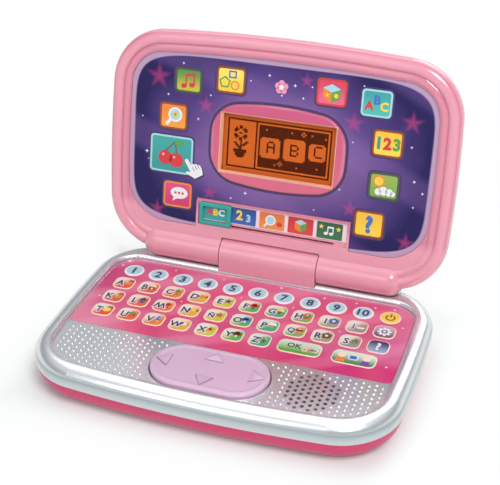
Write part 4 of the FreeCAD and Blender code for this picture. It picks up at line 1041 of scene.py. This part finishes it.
def seen_directly(finish):
    light = node(finish, "LightPath")
    glossy = sums("MAXIMUM", light["Is Camera Ray"], light["Is Glossy Ray"])
    return sums("MAXIMUM", glossy, light["Is Transmission Ray"])


def past_edge(axis, half):
    return sums("SUBTRACT", sums("ABSOLUTE", axis), half)


base_half_x = 0.1185
base_half_y = 0.083
paper = bpy.data.materials.new("paper_sweep")
paper.use_nodes = True
paper.node_tree.nodes.clear()
floor_mesh.materials.append(paper)
paper_white = node(paper, "Emission", {"Color": grey(1.0), "Strength": 1.0})[0]
paper_lit = node(paper, "BsdfDiffuse", {"Color": (0.83, 0.92, 0.9, 1.0)})[0]
paper_axes = axes(place_on(paper))
paper_reach = sums("MAXIMUM", past_edge(paper_axes[0], base_half_x), past_edge(paper_axes[1], base_half_y))
paper_bare = ramp(remap(paper_reach, -0.02, 0.18), (0.0, grey(0.05)), (0.028, grey(0.1)),
                  (0.06, grey(0.42)), (0.1, grey(0.78)), (0.22, grey(0.95)), (1.0, grey(1.0)))
white_share = sums("MULTIPLY", seen_directly(paper), paper_bare)
paper_mix = node(paper, "MixShader", {0: white_share, 1: paper_lit, 2: paper_white})[0]
node(paper, "OutputMaterial", {0: paper_mix})

world = bpy.data.worlds.new("studio")
bpy.context.scene.world = world
world.use_nodes = True
world.node_tree.nodes.clear()
studio_up = axes(node(world, "TexCoord")["Generated"])[2]
studio_walls = ramp(studio_up, (0.14, grey(1.0)), (0.26, (0.28, 0.3, 0.33, 1.0)),
                    (0.5, (0.34, 0.36, 0.39, 1.0)), (0.72, (0.75, 0.76, 0.78, 1.0)))
studio_grey = node(world, "Background", {"Color": grey(1.0), "Strength": 0.27})[0]
studio_white = node(world, "Background", {"Color": studio_walls, "Strength": 1.0})[0]
studio_mix = node(world, "MixShader", {0: seen_directly(world), 1: studio_grey, 2: studio_white})[0]
node(world, "OutputWorld", {0: studio_mix})

lamp_aim = Vector((0.0, 0.0, 0.06))
for name, place, power, size in (("key_lamp", (0.6, -0.75, 1.15), 12.0, 0.5),
                                 ("fill_lamp", (-0.4, -1.15, 0.8), 3.0, 0.7),
                                 ("top_lamp", (-0.1, 0.3, 1.4), 8.2, 1.7),
                                 ("back_lamp", (0.35, 1.25, 0.9), 7.0, 0.8)):
    lamp = bpy.data.lights.new(name, "AREA")
    lamp.energy = power
    lamp.size = size
    lamp_object = new_object(name, lamp)
    lamp_object.location = place
    lamp_object.rotation_euler = (lamp_aim - Vector(place)).to_track_quat("-Z", "Y").to_euler()

camera_place = (0.20776, -0.57918, 0.44919)
azimuth = math.radians(19.2708)
elevation = math.radians(30.6796)
roll = math.radians(-0.3341)
back = Vector((math.sin(azimuth) * math.cos(elevation), -math.cos(azimuth) * math.cos(elevation),
               math.sin(elevation)))
right = (-back).cross(Vector((0, 0, 1))).normalized()
up = right.cross(-back)
rolled_right = right * math.cos(roll) + up * math.sin(roll)
rolled_up = up * math.cos(roll) - right * math.sin(roll)
camera = new_object("camera", bpy.data.cameras.new("camera"))
camera.data.lens = 83.18
camera.data.sensor_width = 36.0
camera_turn = Matrix((rolled_right, rolled_up, back)).transposed().to_4x4()
camera.matrix_world = Matrix.Translation(camera_place) @ camera_turn
bpy.context.scene.camera = camera
bpy.context.scene.view_settings.view_transform = "Standard"

bpy.context.view_layer.update()
